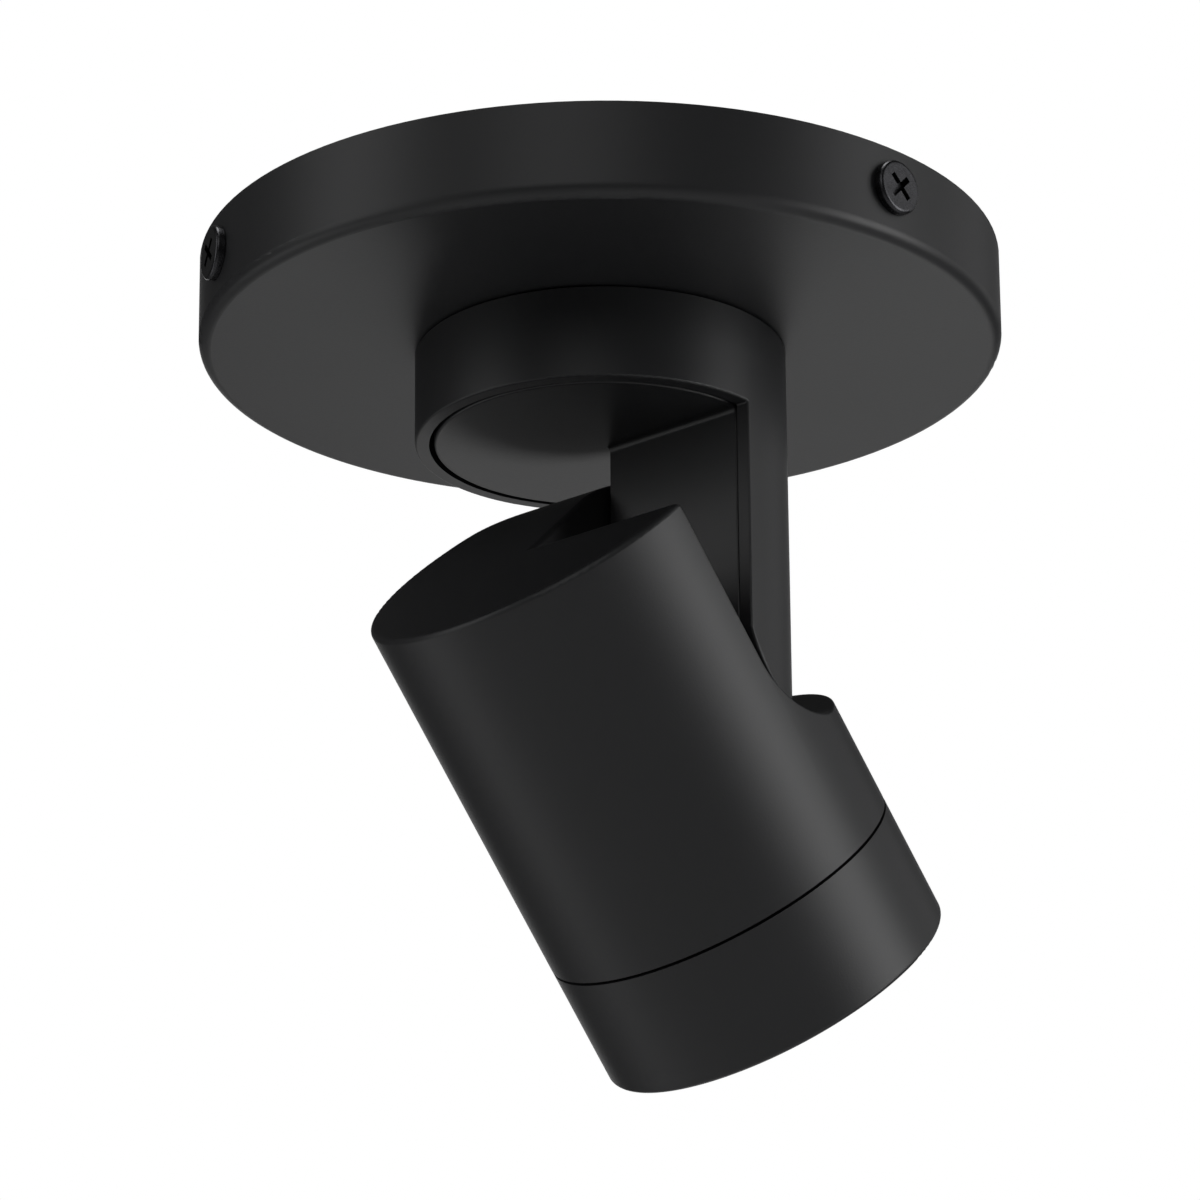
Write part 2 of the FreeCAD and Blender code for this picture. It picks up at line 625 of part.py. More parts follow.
def makeSideScrewTurns():
    # the third screw stands midway round the far side
    return ["sideScrewTurn", "sideScrewTurn - sideScrewSpread", "sideScrewTurn + 180 - sideScrewSpread / 2"]


def makeSideHoles(name, radius):
    # the side screws' holes, from inside the tabs out through the pan wall
    holes = []
    for i, angle in enumerate(makeSideScrewTurns()):
        span = ("tabFace - plateThickness - overrun", "canopyRadius + overrun")
        hole = makeRod("%s%d" % (name, i), radius, *span, z="-sideScrewDrop", along="x")
        holes.append(turnRound(group("%sTurned%d" % (name, i), [hole]), angle))
    return holes


def makeCanopy():
    pan = turnBody("Pan", [
        ("tubeHole", "canopyUnder"),
        ("canopyRadius", "canopyUnder"),
        ("canopyRadius", "0"),
        ("canopyInside", "0"),
        ("canopyInside", "canopyFloor"),
        ("tubeHole", "canopyFloor"),
    ])
    rounded = roundEdges("PanRounded", pan, "canopyEdge", lambda edge: (
        isCircle(edge, "canopyRadius") and near(edge.CenterOfMass.z, "canopyUnder")))
    holes = makeSideHoles("PanHole", "sideScrewRadius + holeClearance")
    pinHole = makeRod("PanPinHole", "stopPinRadius + threadClearance", "canopyUnder - overrun",
                      "canopyFloor + overrun", x="stopRadius")
    return keep(cut("Canopy", rounded, holes + [pinHole]), "canopy")


def makeCanopyScrews():
    screws = []
    for i, angle in enumerate(makeSideScrewTurns()):
        name = "SideScrew%d" % i
        head = makeRod(name + "Head", "sideHeadRadius", "0", "sideHeadHeight")
        rounded = roundEdges(name + "Rounded", head, "sideHeadEdge", lambda edge: (
            isCircle(edge, "sideHeadRadius") and near(edge.CenterOfMass.z, "sideHeadHeight")))
        stem = makeRod(name + "Stem", "sideScrewRadius", "-sideScrewLength", "0")
        blank = fuse(name + "Blank", [rounded, stem])
        arms = [
            makeSlot(name + "Arm%d" % k, "recessLength", "recessWidth", "recessDepth",
                     "sideHeadHeight", isUpright=k == 1)
            for k in range(2)
        ]
        cross = turnRound(fuse(name + "Cross", arms), "recessTurn")
        screw = standAlong(cut(name, blank, [cross]), "x", "canopyRadius", "0", "0", "-sideScrewDrop")
        screws.append(turnRound(group(name + "Turned", [screw]), angle))
    return keep(group("CanopyScrews", screws), "canopy_screws")


def makeBoxSlot(name, y):
    # a slot that runs along Y, for a screw of the ceiling box
    half = "boxSlotLength / 2 - boxSlotRadius"
    span = ("plateUnder - overrun", "overrun")
    ends = [("(%s) - (%s)" % (y, half)), ("(%s) + (%s)" % (y, half))]
    rods = [makeRod("%sEnd%d" % (name, i), "boxSlotRadius", *span, y=end) for i, end in enumerate(ends)]
    middle = makeBox(name + "Middle", ("-boxSlotRadius", "boxSlotRadius"), ends, span)
    return fuse(name, rods + [middle])


def makePlate():
    disc = makeRing("PlateDisc", "plateRadius", "plateOpening", "plateUnder", "0")
    tabs = []
    for i, angle in enumerate(makeSideScrewTurns()):
        y = ("-tabWidth / 2", "tabWidth / 2")
        lug = makeBox("TabLug%d" % i, ("plateRadius - tabWidth / 2", "tabFace"), y, ("plateUnder", "0"))
        wall = makeBox("TabWall%d" % i, ("tabFace - plateThickness", "tabFace"), y, ("-tabDrop", "0"))
        tabs.append(turnRound(fuse("Tab%d" % i, [lug, wall]), angle))
    span = ("plateUnder - overrun", "overrun")
    tools = makeSideHoles("TabHole", "sideScrewRadius + threadClearance")
    tools.append(makeRod("PlateGroundHole", "groundScrewRadius + threadClearance", *span,
                         x="groundScrewPlace", y="groundScrewPlace"))
    for i, sign in enumerate(("", "-")):
        tools.append(makeBoxSlot("BoxSlot%d" % i, "%sboxScrewSpacing / 2" % sign))
        tools.append(makeRod("PlateFixingHole%d" % i, "fixingRadius + threadClearance", *span,
                             x="terminalMiddle", y="%spoleSpacing / 2" % sign))
    return keep(cut("MountingPlate", fuse("PlateBlank", [disc] + tabs), tools), "mounting_plate")


def makeGround():
    length = "plateThickness + tagThickness - slideGap"
    screw = makeScrew("GroundScrew", "groundScrewRadius", length, "groundHeadRadius", "groundHeadHeight")
    place = ("groundScrewPlace", "groundScrewPlace")
    keep(turnOver(screw, *place, "tagFoot"), "ground_screw")
    ring = makeRod("TagRing", "groundHeadRadius", "tagFoot", "plateUnder", *place)
    barrel = makeRod("TagBarrel", "tagBarrelRadius", "tagBarrelStart - tagBarrelLength", "tagBarrelStart",
                     x="groundScrewPlace", z="plateUnder - tagBarrelRadius", along="y")
    tongue = makeBox("TagTongue",
                     ("groundScrewPlace - tagBarrelRadius", "groundScrewPlace + tagBarrelRadius"),
                     ("tagBarrelStart - tagBarrelLength", "groundScrewPlace"), ("tagFoot", "plateUnder"))
    hole = makeRod("TagHole", "groundScrewRadius + threadClearance", "tagFoot - overrun",
                   "plateUnder + overrun", *place)
    bore = makeRod("TagBore", "wireRadius + threadClearance", "tagBarrelStart - tagBarrelLength - overrun",
                   "tagBarrelStart - tagBarrelWall", x="groundScrewPlace",
                   z="plateUnder - tagBarrelRadius", along="y")
    keep(cut("RingTag", fuse("TagBlank", [ring, tongue, barrel]), [hole, bore]), "ring_tag")


poles = ["-poleSpacing", "0", "poleSpacing"]
clampPlaces = ["terminalPlace + clampInset", "terminalPlace + terminalWidth - clampInset"]


def makeTerminalBlock():
    block = makeBox("BlockBlank", ("terminalPlace", "terminalPlace + terminalWidth"),
                    ("-terminalLength / 2", "terminalLength / 2"), ("terminalFoot", "plateUnder"))
    tools = []
    barrels = []
    clamps = []
    for i, y in enumerate(poles):
        inset = "tagBarrelWall"
        ends = ("terminalPlace + " + inset, "terminalPlace + terminalWidth - " + inset)
        through = ("terminalPlace - overrun", "terminalPlace + terminalWidth + overrun")
        line = {"y": y, "z": "wireHeight", "along": "x"}
        tools.append(makeRod("PoleHole%d" % i, "barrelRadius + threadClearance", *through, **line))
        barrel = makeRod("BarrelBlank%d" % i, "barrelRadius", *ends, **line)
        bores = [makeRod("BarrelBore%d" % i, "wireRadius + slideGap", *through, **line)]
        for k, x in enumerate(clampPlaces):
            name = "Clamp%d%d" % (i, k)
            span = ("terminalFoot - overrun", "wireHeight")
            tools.append(makeRod(name + "Well", "clampRadius + threadClearance", *span, x=x, y=y))
            bores.append(makeRod(name + "Thread", "clampRadius + threadClearance", *span, x=x, y=y))
            stud = makeRod(name + "Stud", "clampRadius", "0", "clampTop - terminalFoot - seatGap")
            slot = makeSlot(name + "Slot", "2 * clampRadius + overrun", "slotWidth", "slotDepth",
                            "clampTop - terminalFoot - seatGap")
            clamps.append(turnOver(cut(name, stud, [slot]), x, y, "clampTop"))
        barrels.append(cut("Barrel%d" % i, barrel, bores))
    fixings = []
    for i, y in enumerate(("poleSpacing / 2", "-poleSpacing / 2")):
        span = ("terminalFoot - overrun", "plateUnder + overrun")
        tools.append(makeRod("FixingHole%d" % i, "fixingRadius + threadClearance", *span,
                             "terminalMiddle", y))
        tools.append(makeRod("FixingWell%d" % i, "fixingHeadRadius + slideGap", span[0],
                             "terminalFoot + fixingHeadHeight", "terminalMiddle", y))
        screw = makeScrew("Fixing%d" % i, "fixingRadius",
                          "terminalHeight - fixingHeadHeight + plateThickness - slideGap",
                          "fixingHeadRadius", "fixingHeadHeight")
        fixings.append(turnOver(screw, "terminalMiddle", y, "terminalFoot + fixingHeadHeight"))
    keep(cut("TerminalBlock", block, tools), "terminal_block")
    keep(group("TerminalBarrels", barrels), "terminal_barrels")
    keep(group("ClampScrews", clamps), "clamp_screws")
    keep(group("TerminalBlockScrews", fixings), "terminal_block_screws")


leadPlaces = ["driverMiddle + leadSpacing / 2", "driverMiddle - leadSpacing / 2"]


def makeInnerBox(name, inset, low, high):
    # a box that follows the driver case's outline, inset all round
    return makeBox(name, ("driverOuter + " + inset, "driverInner - (%s)" % inset),
                   ("-driverEnd + " + inset, "driverEnd - (%s)" % inset), (low, high))


def makeDriver():
    keep(makeInnerBox("DriverPad", "slideGap", "canopyFloor", "driverFoot"), "driver_pad")
    shell = makeInnerBox("DriverBlank", "0", "driverFoot", "driverTop")
    room = makeInnerBox("DriverRoom", "driverWall", "boardFoot", "driverTop + overrun")
    well = makeInnerBox("DriverWell", "driverWall + driverLedge", "driverFoot + driverWall",
                        "boardFoot + overrun")
    holes = [
        makeRod("DriverWireHole%d" % i, "wireRadius + slideGap", "driverInside - overrun",
                "driverEnd + overrun", x=x, z="leadHeight", along="y")
        for i, x in enumerate(leadPlaces)
    ]
    holes.append(makeRod("DriverCableHole", "cableRadius + slideGap", "-driverEnd - overrun",
                         "-driverInside + overrun", x="driverMiddle", z="leadHeight", along="y"))
    keep(cut("DriverCase", shell, [room, well] + holes), "driver_case")
    keep(makeInnerBox("DriverLid", "0", "driverTop", "driverLidTop"), "driver_lid")
    keep(makeInnerBox("DriverBoard", "driverWall + threadClearance", "boardFoot", "boardTop"), "driver_board")
    plugs = []
    sides = [("", leadPlaces, "wireRadius"), ("-", ["driverMiddle"], "cableRadius")]
    for i, (sign, xs, radius) in enumerate(sides):
        ends = ["driverInside - threadClearance - plugDepth", "driverInside - threadClearance"]
        if sign:
            ends = ["-(%s)" % end for end in reversed(ends)]
        body = makeBox("Plug%dBlank" % i, ("driverMiddle - plugLength / 2", "driverMiddle + plugLength / 2"),
                       ends, ("boardTop", "boardTop + plugHeight"))
        inner, outer = "%sleadStart" % sign, "%sdriverEnd" % sign
        low, high = (outer, inner) if sign else (inner, outer)
        bores = [
            makeRod("Plug%dBore%d" % (i, k), radius + " + slideGap", low, high, x=x, z="leadHeight",
                    along="y")
            for k, x in enumerate(xs)
        ]
        plugs.append(cut("Plug%d" % i, body, bores))
    keep(group("DriverTerminals", plugs), "driver_terminals")
    half = "transformerWidth / 2"
    keep(makeBox("DriverTransformer", ("driverMiddle - " + half, "driverMiddle + " + half),
                 ("0", "transformerLength"), ("boardTop", "boardTop + transformerHeight")),
         "driver_transformer")
    keep(makeRod("DriverCapacitor", "capacitorRadius", "driverMiddle - capacitorLength / 2",
                 "driverMiddle + capacitorLength / 2", y="-transformerLength / 2",
                 z="boardTop + capacitorRadius", along="x"), "driver_capacitor")


def makeSpring(name):
    # a coned spring washer: its inner edge is the high one
    return turnBody(name, [
        ("tubeHole", "springWasherRise"),
        ("washerRadius", "0"),
        ("washerRadius", "springWasherThickness"),
        ("tubeHole", "springWasherRise + springWasherThickness"),
    ])


def makeSwivel():
    keep(makeRing("SwivelTube", "tubeRadius", "tubeBore", "tubeFoot", "tubeTop"), "swivel_tube")
    keep(makeRing("SwivelToothedWasher", "toothWasherRadius", "tubeHole", "canopyFloor", "upperNutFoot"),
         "swivel_toothed_washer")
    keep(makeNut("SwivelUpperNut", "upperNutFoot", "upperNutFoot + nutThickness"), "swivel_upper_nut")
    keep(makeRing("SwivelSlipWasher", "slipWasherRadius", "tubeHole", "collarTop + slideGap", "canopyUnder"),
         "swivel_slip_washer")
    keep(moveTo(makeSpring("SwivelSpring"), z="lowerNutTop"), "swivel_spring_washer")
    keep(makeNut("SwivelLowerNut", "lowerNutFoot", "lowerNutTop"), "swivel_lower_nut")
    head = makeRod("StopHead", "stopHeadRadius", "canopyFloor", "canopyFloor + stopHeadHeight",
                   x="stopRadius")
    stem = makeRod("StopStem", "stopPinRadius", "collarTop - stopGrooveDepth + seatGap", "canopyFloor",
                   x="stopRadius")
    keep(fuse("SwivelStopPin", [head, stem]), "swivel_stop_pin")


# places on the route of each wire, as shares of the pan's radius
liveShares = [(0.2, 0.3), (-0.08, 0.56), (-0.38, 0.68)]
neutralShares = [(0.22, 0.06), (0.03, 0.34), (-0.19, 0.55), (-0.35, 0.585)]
cableShares = [(-0.28, -0.65), (-0.08, -0.56)]


def onCanopy(shares, heights):
    places = [("%g * canopyRadius" % x, "%g * canopyRadius" % y) for x, y in shares]
    return [place + (height,) for place, height in zip(places, heights)]


def makeCanopyWires():
    starts = ["terminalPlace + clampInset", "terminalPlace - leadRun"]
    ways = [
        ("live_wire", "LiveWire", "0", leadPlaces[1], liveShares),
        ("neutral_wire", "NeutralWire", "-poleSpacing", leadPlaces[0], neutralShares),
    ]
    for label, name, pole, lead, shares in ways:
        heights = ["wireHeight"] * (len(shares) - 1) + ["leadHeight"]
        points = [(x, pole, "wireHeight") for x in starts] + onCanopy(shares, heights)
        points += [(lead, y, "leadHeight") for y in ("driverEnd + leadRun", "leadStart + seatGap")]
        keep(makeCable(name, points, "wireRadius"), label)
    tagHeight = "plateUnder - tagBarrelRadius"
    points = [(x, "poleSpacing", "wireHeight") for x in starts] + [
        ("groundScrewPlace", "tagBarrelStart - 2 * tagBarrelLength", tagHeight),
        ("groundScrewPlace", "tagBarrelStart - tagBarrelLength / 2", tagHeight),
    ]
    keep(makeCable("GroundWire", points, "wireRadius"), "ground_wire")
    points = [
        ("driverMiddle", "-leadStart - seatGap", "leadHeight"),
        ("driverMiddle", "-driverEnd - leadRun", "leadHeight"),
    ]
    points += onCanopy(cableShares, ["leadHeight", "leadHeight"])
    points += [("0", "-cableBendPlace", "-cableCrest"), ("0", "0", "-cableCrest"), ("0", "0", "collarTop")]
    keep(makeCable("LampCableCanopy", points, "cableRadius"), "lamp_cable_canopy")


# Arm: the collar under the pan and the half-round arm, one casting

def placesRound(count, place, start, step):
    # (x, y) formulas of pieces round an axis
    angles = ["%s + %d * %s" % (start, i, step) for i in range(int(size(count)))]
    return [("%s * cos(%s)" % (place, angle), "%s * sin(%s)" % (place, angle)) for angle in angles]


def makePostPlaces():
    return placesRound("postCount", "postPlace", "postTurn", "postStep")


def makeArm():
    far = "headRadius + overrun"
    collar = makeRod("CollarBlank", "headRadius", "collarLip", "collarTop")
    armFoot = "hingeHeight - armEndRadius"
    quarter = makeRod("ArmRound", "headRadius", armFoot, "collarLip")
    y = ("-(%s)" % far, "-kneeGap")
    upper = makeBox("ArmUpper", ("armFlat", far), y, ("hingeHeight", "collarLip"))
    end = makeRod("ArmEnd", "armEndRadius", *y, x="hingeOffset", z="hingeHeight", along="y")
    endBox = makeBox("ArmEndBox", ("armFlat", far), y, (armFoot, "hingeHeight"))
    profile = fuse("ArmProfile", [upper, overlap("ArmEndCut", [end, endBox])])
    blank = fuse("ArmBlank", [collar, overlap("ArmOuter", [quarter, profile])])

    rounded = roundEdges("ArmRounded", blank, "lipRounding", lambda edge: (
        edge.CenterOfMass.z < size("collarLip + lipRounding")))

    bore = makeRod("CollarBore", "boreRadius", "collarLip - overrun", "collarCeiling")
    y = ("-(%s)" % far, "-kneeInner")
    core = makeRod("ArmCore", "boreRadius", "hingeHeight - armEndInner", "collarLip")
    upperCore = makeBox("ArmUpperCore", ("armFlat - overrun", far), y, ("hingeHeight", "collarLip"))
    endCore = makeRod("ArmEndCore", "armEndInner", *y, x="hingeOffset", z="hingeHeight", along="y")
    cavity = overlap("ArmCavity", [core, fuse("ArmCoreProfile", [upperCore, endCore])])
    rebateBox = makeBox("CoverRebateBox", ("armFlat - overrun", "coverBack"),
                        ("-(%s)" % far, "-kneeGap + overrun"),
                        ("hingeHeight - coverFoot - coverGap", "collarLip + overrun"))
    rebateRound = makeRod("CoverRebateRound", "boreRadius", armFoot, "collarLip + overrun")
    rebate = overlap("CoverRebate", [rebateBox, rebateRound])
    quarterBore = makeBox("QuarterBore", ("coverBack", far), ("-(%s)" % far, "-kneeGap"),
                          ("collarLip - 2 * overrun", "collarLip"))
    collarBore = cut("CollarBoreAbove", bore, [quarterBore])
    hollow = cut("ArmHollow", rounded, [collarBore, cavity, rebate])

    knee = makeBox("KneeRib", ("coverBack", "boreRadius + overrun / 2"), ("-kneeInner", "-kneeGap"),
                   ("collarLip - overrun", "collarCeiling + overrun / 2"))
    clearing = makeRod("KneeClearing", "kneeClearing", "discTop", "collarCeiling + overrun")
    rim = makeRod("KneeRimCut", "headRadius - lipRounding", "collarLip - overrun", "collarTop - overrun / 2")
    rib = overlap("KneeRibRound", [cut("KneeRibCleared", knee, [clearing]), rim])
    bosses = []
    tools = []
    for i, (x, y) in enumerate(makePostPlaces()):
        bosses.append(makeRod("PostBoss%d" % i, "postRadius + postBossWall", "discTop + seatGap",
                              "collarCeiling + overrun / 2", x, y))
        tools.append(makeRod("PostHole%d" % i, "postRadius + threadClearance", "discTop - overrun",
                             "discTop + postLength + seatGap", x, y))
    solid = fuse("ArmSolid", [hollow, rib] + bosses)

    track = makeRing("StopTrackRing", "stopRadius + stopPinRadius + seatGap",
                     "stopRadius - stopPinRadius - seatGap", "collarTop - stopGrooveDepth",
                     "collarTop + overrun")
    stopRib = makeBox("StopRib", ("-headRadius", "0"), ("-stopRibWidth / 2", "stopRibWidth / 2"),
                      ("collarTop - 2 * overrun", "collarTop + 2 * overrun"))
    tools.append(cut("StopTrack", track, [stopRib]))
    tools.append(makeRod("SwivelHole", "tubeHole", "collarCeiling - overrun", "collarTop + overrun"))
    tools.append(makeRod("HingeHole", "tubeHole", "-kneeInner - overrun", "-kneeGap + overrun",
                         x="hingeOffset", z="hingeHeight", along="y"))
    tools.append(makeRod("TiltPinHole", "tiltPinRadius + threadClearance", "-kneeInner - overrun",
                         "-kneeGap + overrun", x=tiltPinX, z=tiltPinZ, along="y"))
    return keep(cut("Arm", solid, tools), "arm")


tiltPinX = "hingeOffset + tiltPinThrow * cos(tiltPinTurn)"
tiltPinZ = "hingeHeight + tiltPinThrow * sin(tiltPinTurn)"


def makeArmCover():
    far = "headRadius + overrun"
    disc = makeRod("CoverDisc", "discRadius", "collarLip", "discTop")
    quarter = makeBox("CoverQuarter", ("coverBack", far), ("-(%s)" % far, "-kneeGap + seatGap"),
                      ("collarLip - overrun", "discTop + overrun"))
    foot = "hingeHeight - coverFoot"
    plateBox = makeBox("CoverPlateBox", ("coverFace", "coverBack"), ("-(%s)" % far, "-kneeGap"),
                       (foot, "discTop"))
    plateRound = makeRod("CoverPlateRound", "discRadius", foot, "discTop")
    plate = overlap("CoverPlate", [plateBox, plateRound])
    cover = fuse("CoverBlank", [cut("CoverDiscCut", disc, [quarter]), plate])
    corner = roundEdges("CoverCorner", cover, "coverCorner", lambda edge: (
        isinstance(edge.Curve, Part.Line) and near(edge.CenterOfMass.x, "coverFace")
        and near(edge.CenterOfMass.z, "collarLip") and edge.Length > size("headRadius") / 2))
    edged = roundEdges("CoverEdged", corner, "coverRounding", lambda edge: (
        isCircle(edge, "discRadius") and near(edge.CenterOfMass.z, "collarLip")))
    posts = []
    for i, (x, y) in enumerate(makePostPlaces()):
        posts.append(makeRod("Post%d" % i, "postRadius", "collarLip + coverThickness / 2",
                             "discTop + postLength", x, y))
    pinRoom = makeRod("CoverPinRoom", "tiltPinRadius + seatGap", "-kneeInner - overrun", "-kneeGap + overrun",
                      x=tiltPinX, z=tiltPinZ, along="y")
    return keep(cut("ArmCover", fuse("CoverSolid", [edged] + posts), [pinRoom]), "arm_cover")


def makeHinge():
    pin = {"x": "hingeOffset", "z": "hingeHeight", "along": "y"}
    keep(makeRing("SwivelNylonWasher", "washerRadius", "tubeHole", "nylonFoot", "collarCeiling"),
         "swivel_nylon_washer")
    keep(makeRing("HingeTube", "tubeRadius", "tubeBore", "-tubeArmEnd", "tubeHeadEnd", **pin), "hinge_tube")
    keep(makeRing("HingeToothedWasher", "toothWasherRadius", "tubeHole", "-armNutFoot", "-kneeInner", **pin),
         "hinge_toothed_washer")
    keep(makeNut("HingeArmNut", "-armNutEnd", "-armNutFoot", **pin), "hinge_arm_nut")
    keep(makeRing("HingeSlipWasher", "washerRadius", "tubeHole", "-kneeGap", "kneeGap - slideGap", **pin),
         "hinge_slip_washer")
    keep(standAlong(makeSpring("HingeSpring"), "y", "springStart", pin["x"], "0", pin["z"]),
         "hinge_spring_washer")
    keep(makeNut("HingeHeadNut", "headNutFoot", "headNutEnd", **pin), "hinge_head_nut")
    keep(makeRod("TiltStopPin", "tiltPinRadius", "-kneeInner", "kneeInner - seatGap",
                 x=tiltPinX, z=tiltPinZ, along="y"), "tilt_stop_pin")
    lead = "discTop + cableRadius + seatGap"
    points = [
        ("0", "0", "collarTop"),
        ("0", "0", lead),
        ("cableArmSide", "-cableArmSide", lead),
        ("(cableArmSide + hingeOffset) / 2", "-cableArmHalfway", "(discTop + hingeHeight) / 2"),
        ("hingeOffset", "-cableArmOut", "hingeHeight"),
        ("hingeOffset", "0", "hingeHeight"),
    ]
    keep(makeCable("LampCableArm", points, "cableRadius"), "lamp_cable_arm")


# Head: a drum closed at the back, with a pocket for the arm

def makeHeadProfile(name, top):
    # the head's outline seen along the hinge: a flat top that runs into a barrel round the hinge
    far = "headRadius + overrun"
    foot = "-seamDrop - overrun"
    y = ("-(%s)" % far, far)
    return fuse(name, [
        makeBox(name + "Flat", ("-(%s)" % far, "hingeOffset"), y, (foot, top)),
        makeBox(name + "Lower", ("0", far), y, (foot, "0")),
        makeRod(name + "Barrel", top, *y, x="hingeOffset", along="y"),
    ])


def makePocketShape(name, radius, side, slope):
    # the arm's room: round about the hinge, open upwards and outwards, its floor falling by the angle slope
    far = "headRadius + overrun"
    y = ("-(%s)" % far, side)
    floor = group(name + "Floor", [makeBox(name + "Lower", ("0", far), y, ("-(%s)" % radius, "overrun"))])
    floor.Placement.Rotation = FreeCAD.Rotation(Vector(0, 1, 0), size(slope))
    floor.setExpression("Placement.Rotation.Angle", fullNames(slope))
    return fuse(name, [
        makeRod(name + "Round", radius, *y, x="hingeOffset", along="y"),
        makeBox(name + "Upper", ("hingeOffset - (%s)" % radius, far), y, ("0", "lidHeight + overrun")),
        moveTo(floor, x="hingeOffset"),
    ])


def makeBossPlaces():
    return placesRound("bossCount", "bossPlace", "bossTurn", "360 / bossCount")


def makeTiltSlot():
    # the curved slot that the tilt stop pin runs in
    width = "tiltPinRadius + seatGap"
    sector = makeSector("TiltSlotArc", "tiltPinThrow + " + width, "tiltPinThrow - (%s)" % width,
                        "-overrun", "kneeInner + overrun", "-tiltPinTurn", "tiltRange")
    arc = standAlong(group("TiltSlotArcTurned", [sector]), "y", "0", "hingeOffset", "0", "0")
    ends = []
    for i, angle in enumerate(("tiltPinTurn", "tiltPinTurn - tiltRange")):
        ends.append(makeRod("TiltSlotEnd%d" % i, width, "-overrun", "kneeInner + overrun",
                            x="hingeOffset + tiltPinThrow * cos(%s)" % angle,
                            z="tiltPinThrow * sin(%s)" % angle, along="y"))
    return [arc] + ends


def isOnLid(edge):
    return not isinstance(edge.Curve, Part.Line) and edge.BoundBox.ZMin > size("lidHeight") / 2


def isPocketCorner(edge):
    # the straight edge between the closed end and the pocket's upright wall
    return (isinstance(edge.Curve, Part.Line) and near(edge.CenterOfMass.z, "lidHeight")
            and near(edge.CenterOfMass.x, "hingeOffset - pocketRadius"))


def isPocketEdge(edge):
    # the pocket floor's outer edge and the upright edge past it; the edges that run on from them follow
    middle = edge.CenterOfMass
    return isinstance(edge.Curve, Part.Ellipse) or (
        near(middle.x, "headRadius") and near(middle.y, "kneeGap"))


def makeHeadShell():
    drum = makeRod("DrumBlank", "headRadius", "-seamDrop", "lidHeight")
    outer = overlap("DrumOuter", [drum, makeHeadProfile("OuterProfile", "lidHeight")])
    pocket = makePocketShape("Pocket", "pocketRadius", "kneeGap", "pocketSlope")
    rounded = roundEdges("DrumRounded", cut("DrumPocketed", outer, [pocket]), "lidEdge", isOnLid,
                         ("pocketCorner", isPocketCorner), ("pocketEdge", isPocketEdge))
    neck = makeRod("Neck", "neckRadius", "neckFoot", "-seamDrop + neckRoot")
    lugs = [
        makeSector("Lug%d" % i, "lugRadius", "neckRadius - neckWall / 2", "neckFoot", "lugTop",
                   "%d * 360 / lugCount" % i, "lugTurn")
        for i in range(int(size("lugCount")))
    ]
    blank = fuse("HeadBlank", [rounded, neck] + lugs)

    chamber = makeRod("Chamber", "chamberRadius", "-seamDrop + neckRoot", "lidUnder")
    room = cut("HeadRoom", overlap("ChamberRound", [chamber, makeHeadProfile("InnerProfile", "lidUnder")]),
               [makePocketShape("PocketBlock", "pocketOuter", "kneeInner", "0")])
    bore = makeRod("NeckBore", "neckBore", "neckFoot - overrun", "-seamDrop + neckRoot + overrun")
    hollow = cut("HeadHollow", blank, [room, bore])
    bosses = []
    holes = []
    for i, (x, y) in enumerate(makeBossPlaces()):
        bosses.append(makeRod("SinkBoss%d" % i, "bossRadius", "sinkTop", "sinkTop + bossLength", x, y))
        holes.append(makeRod("SinkBossHole%d" % i, "sinkScrewRadius + threadClearance", "sinkTop - overrun",
                             "sinkFoot + sinkScrewLength + seatGap", x, y))
    solid = fuse("HeadSolid", [hollow] + bosses)
    tools = makeTiltSlot() + holes
    tools.append(makeRod("HeadHingeHole", "tubeHole", "-overrun", "kneeInner + overrun",
                         x="hingeOffset", along="y"))
    return keepOnHead(cut("HeadShell", solid, tools), "head_shell")


def makeHeatSink():
    disc = makeRod("SinkDisc", "sinkRadius", "sinkFoot", "sinkTop")
    fins = []
    for i in range(int(size("finCount"))):
        low = "finStart + %d * finPitch" % i
        fins.append(makeBox("Fin%d" % i, ("-finLength / 2", "finLength / 2"), (low, low + " + finThickness"),
                            ("sinkFoot + sinkThickness / 2", "sinkTop + finRise")))
    limit = makeRod("FinLimit", "sinkRadius", "sinkFoot", "sinkTop + finRise + overrun")
    blank = fuse("SinkBlank", [disc, overlap("FinsRound", [fuse("Fins", fins), limit])])
    span = ("sinkFoot - overrun", "sinkTop + overrun")
    tools = [
        makeRod("SinkHole%d" % i, "sinkScrewRadius + holeClearance", *span, x, y)
        for i, (x, y) in enumerate(makeBossPlaces())
    ]
    tools.append(makeRod("SinkNotch", "cableNotch", *span, "cableHeadX", "cableHeadY"))
    for i, angle in enumerate(holderScrewTurns):
        tools.append(makeRod("SinkTap%d" % i, "holderScrewRadius + threadClearance", "sinkFoot - overrun",
                             "holderHeadSeat + holderScrewLength + seatGap",
                             "holderScrewPlace * cos(%s)" % angle, "holderScrewPlace * sin(%s)" % angle))
    keepOnHead(cut("HeatSink", blank, tools), "heat_sink")
    screws = []
    for i, (x, y) in enumerate(makeBossPlaces()):
        screw = makeScrew("SinkScrew%d" % i, "sinkScrewRadius", "sinkScrewLength", "smallHeadRadius",
                          "smallHeadHeight")
        screws.append(turnOver(screw, x, y, "sinkFoot"))
    keepOnHead(group("SinkScrews", screws), "heat_sink_screws")


holderScrewTurns = ["holderScrewTurn", "holderScrewTurn + 180"]


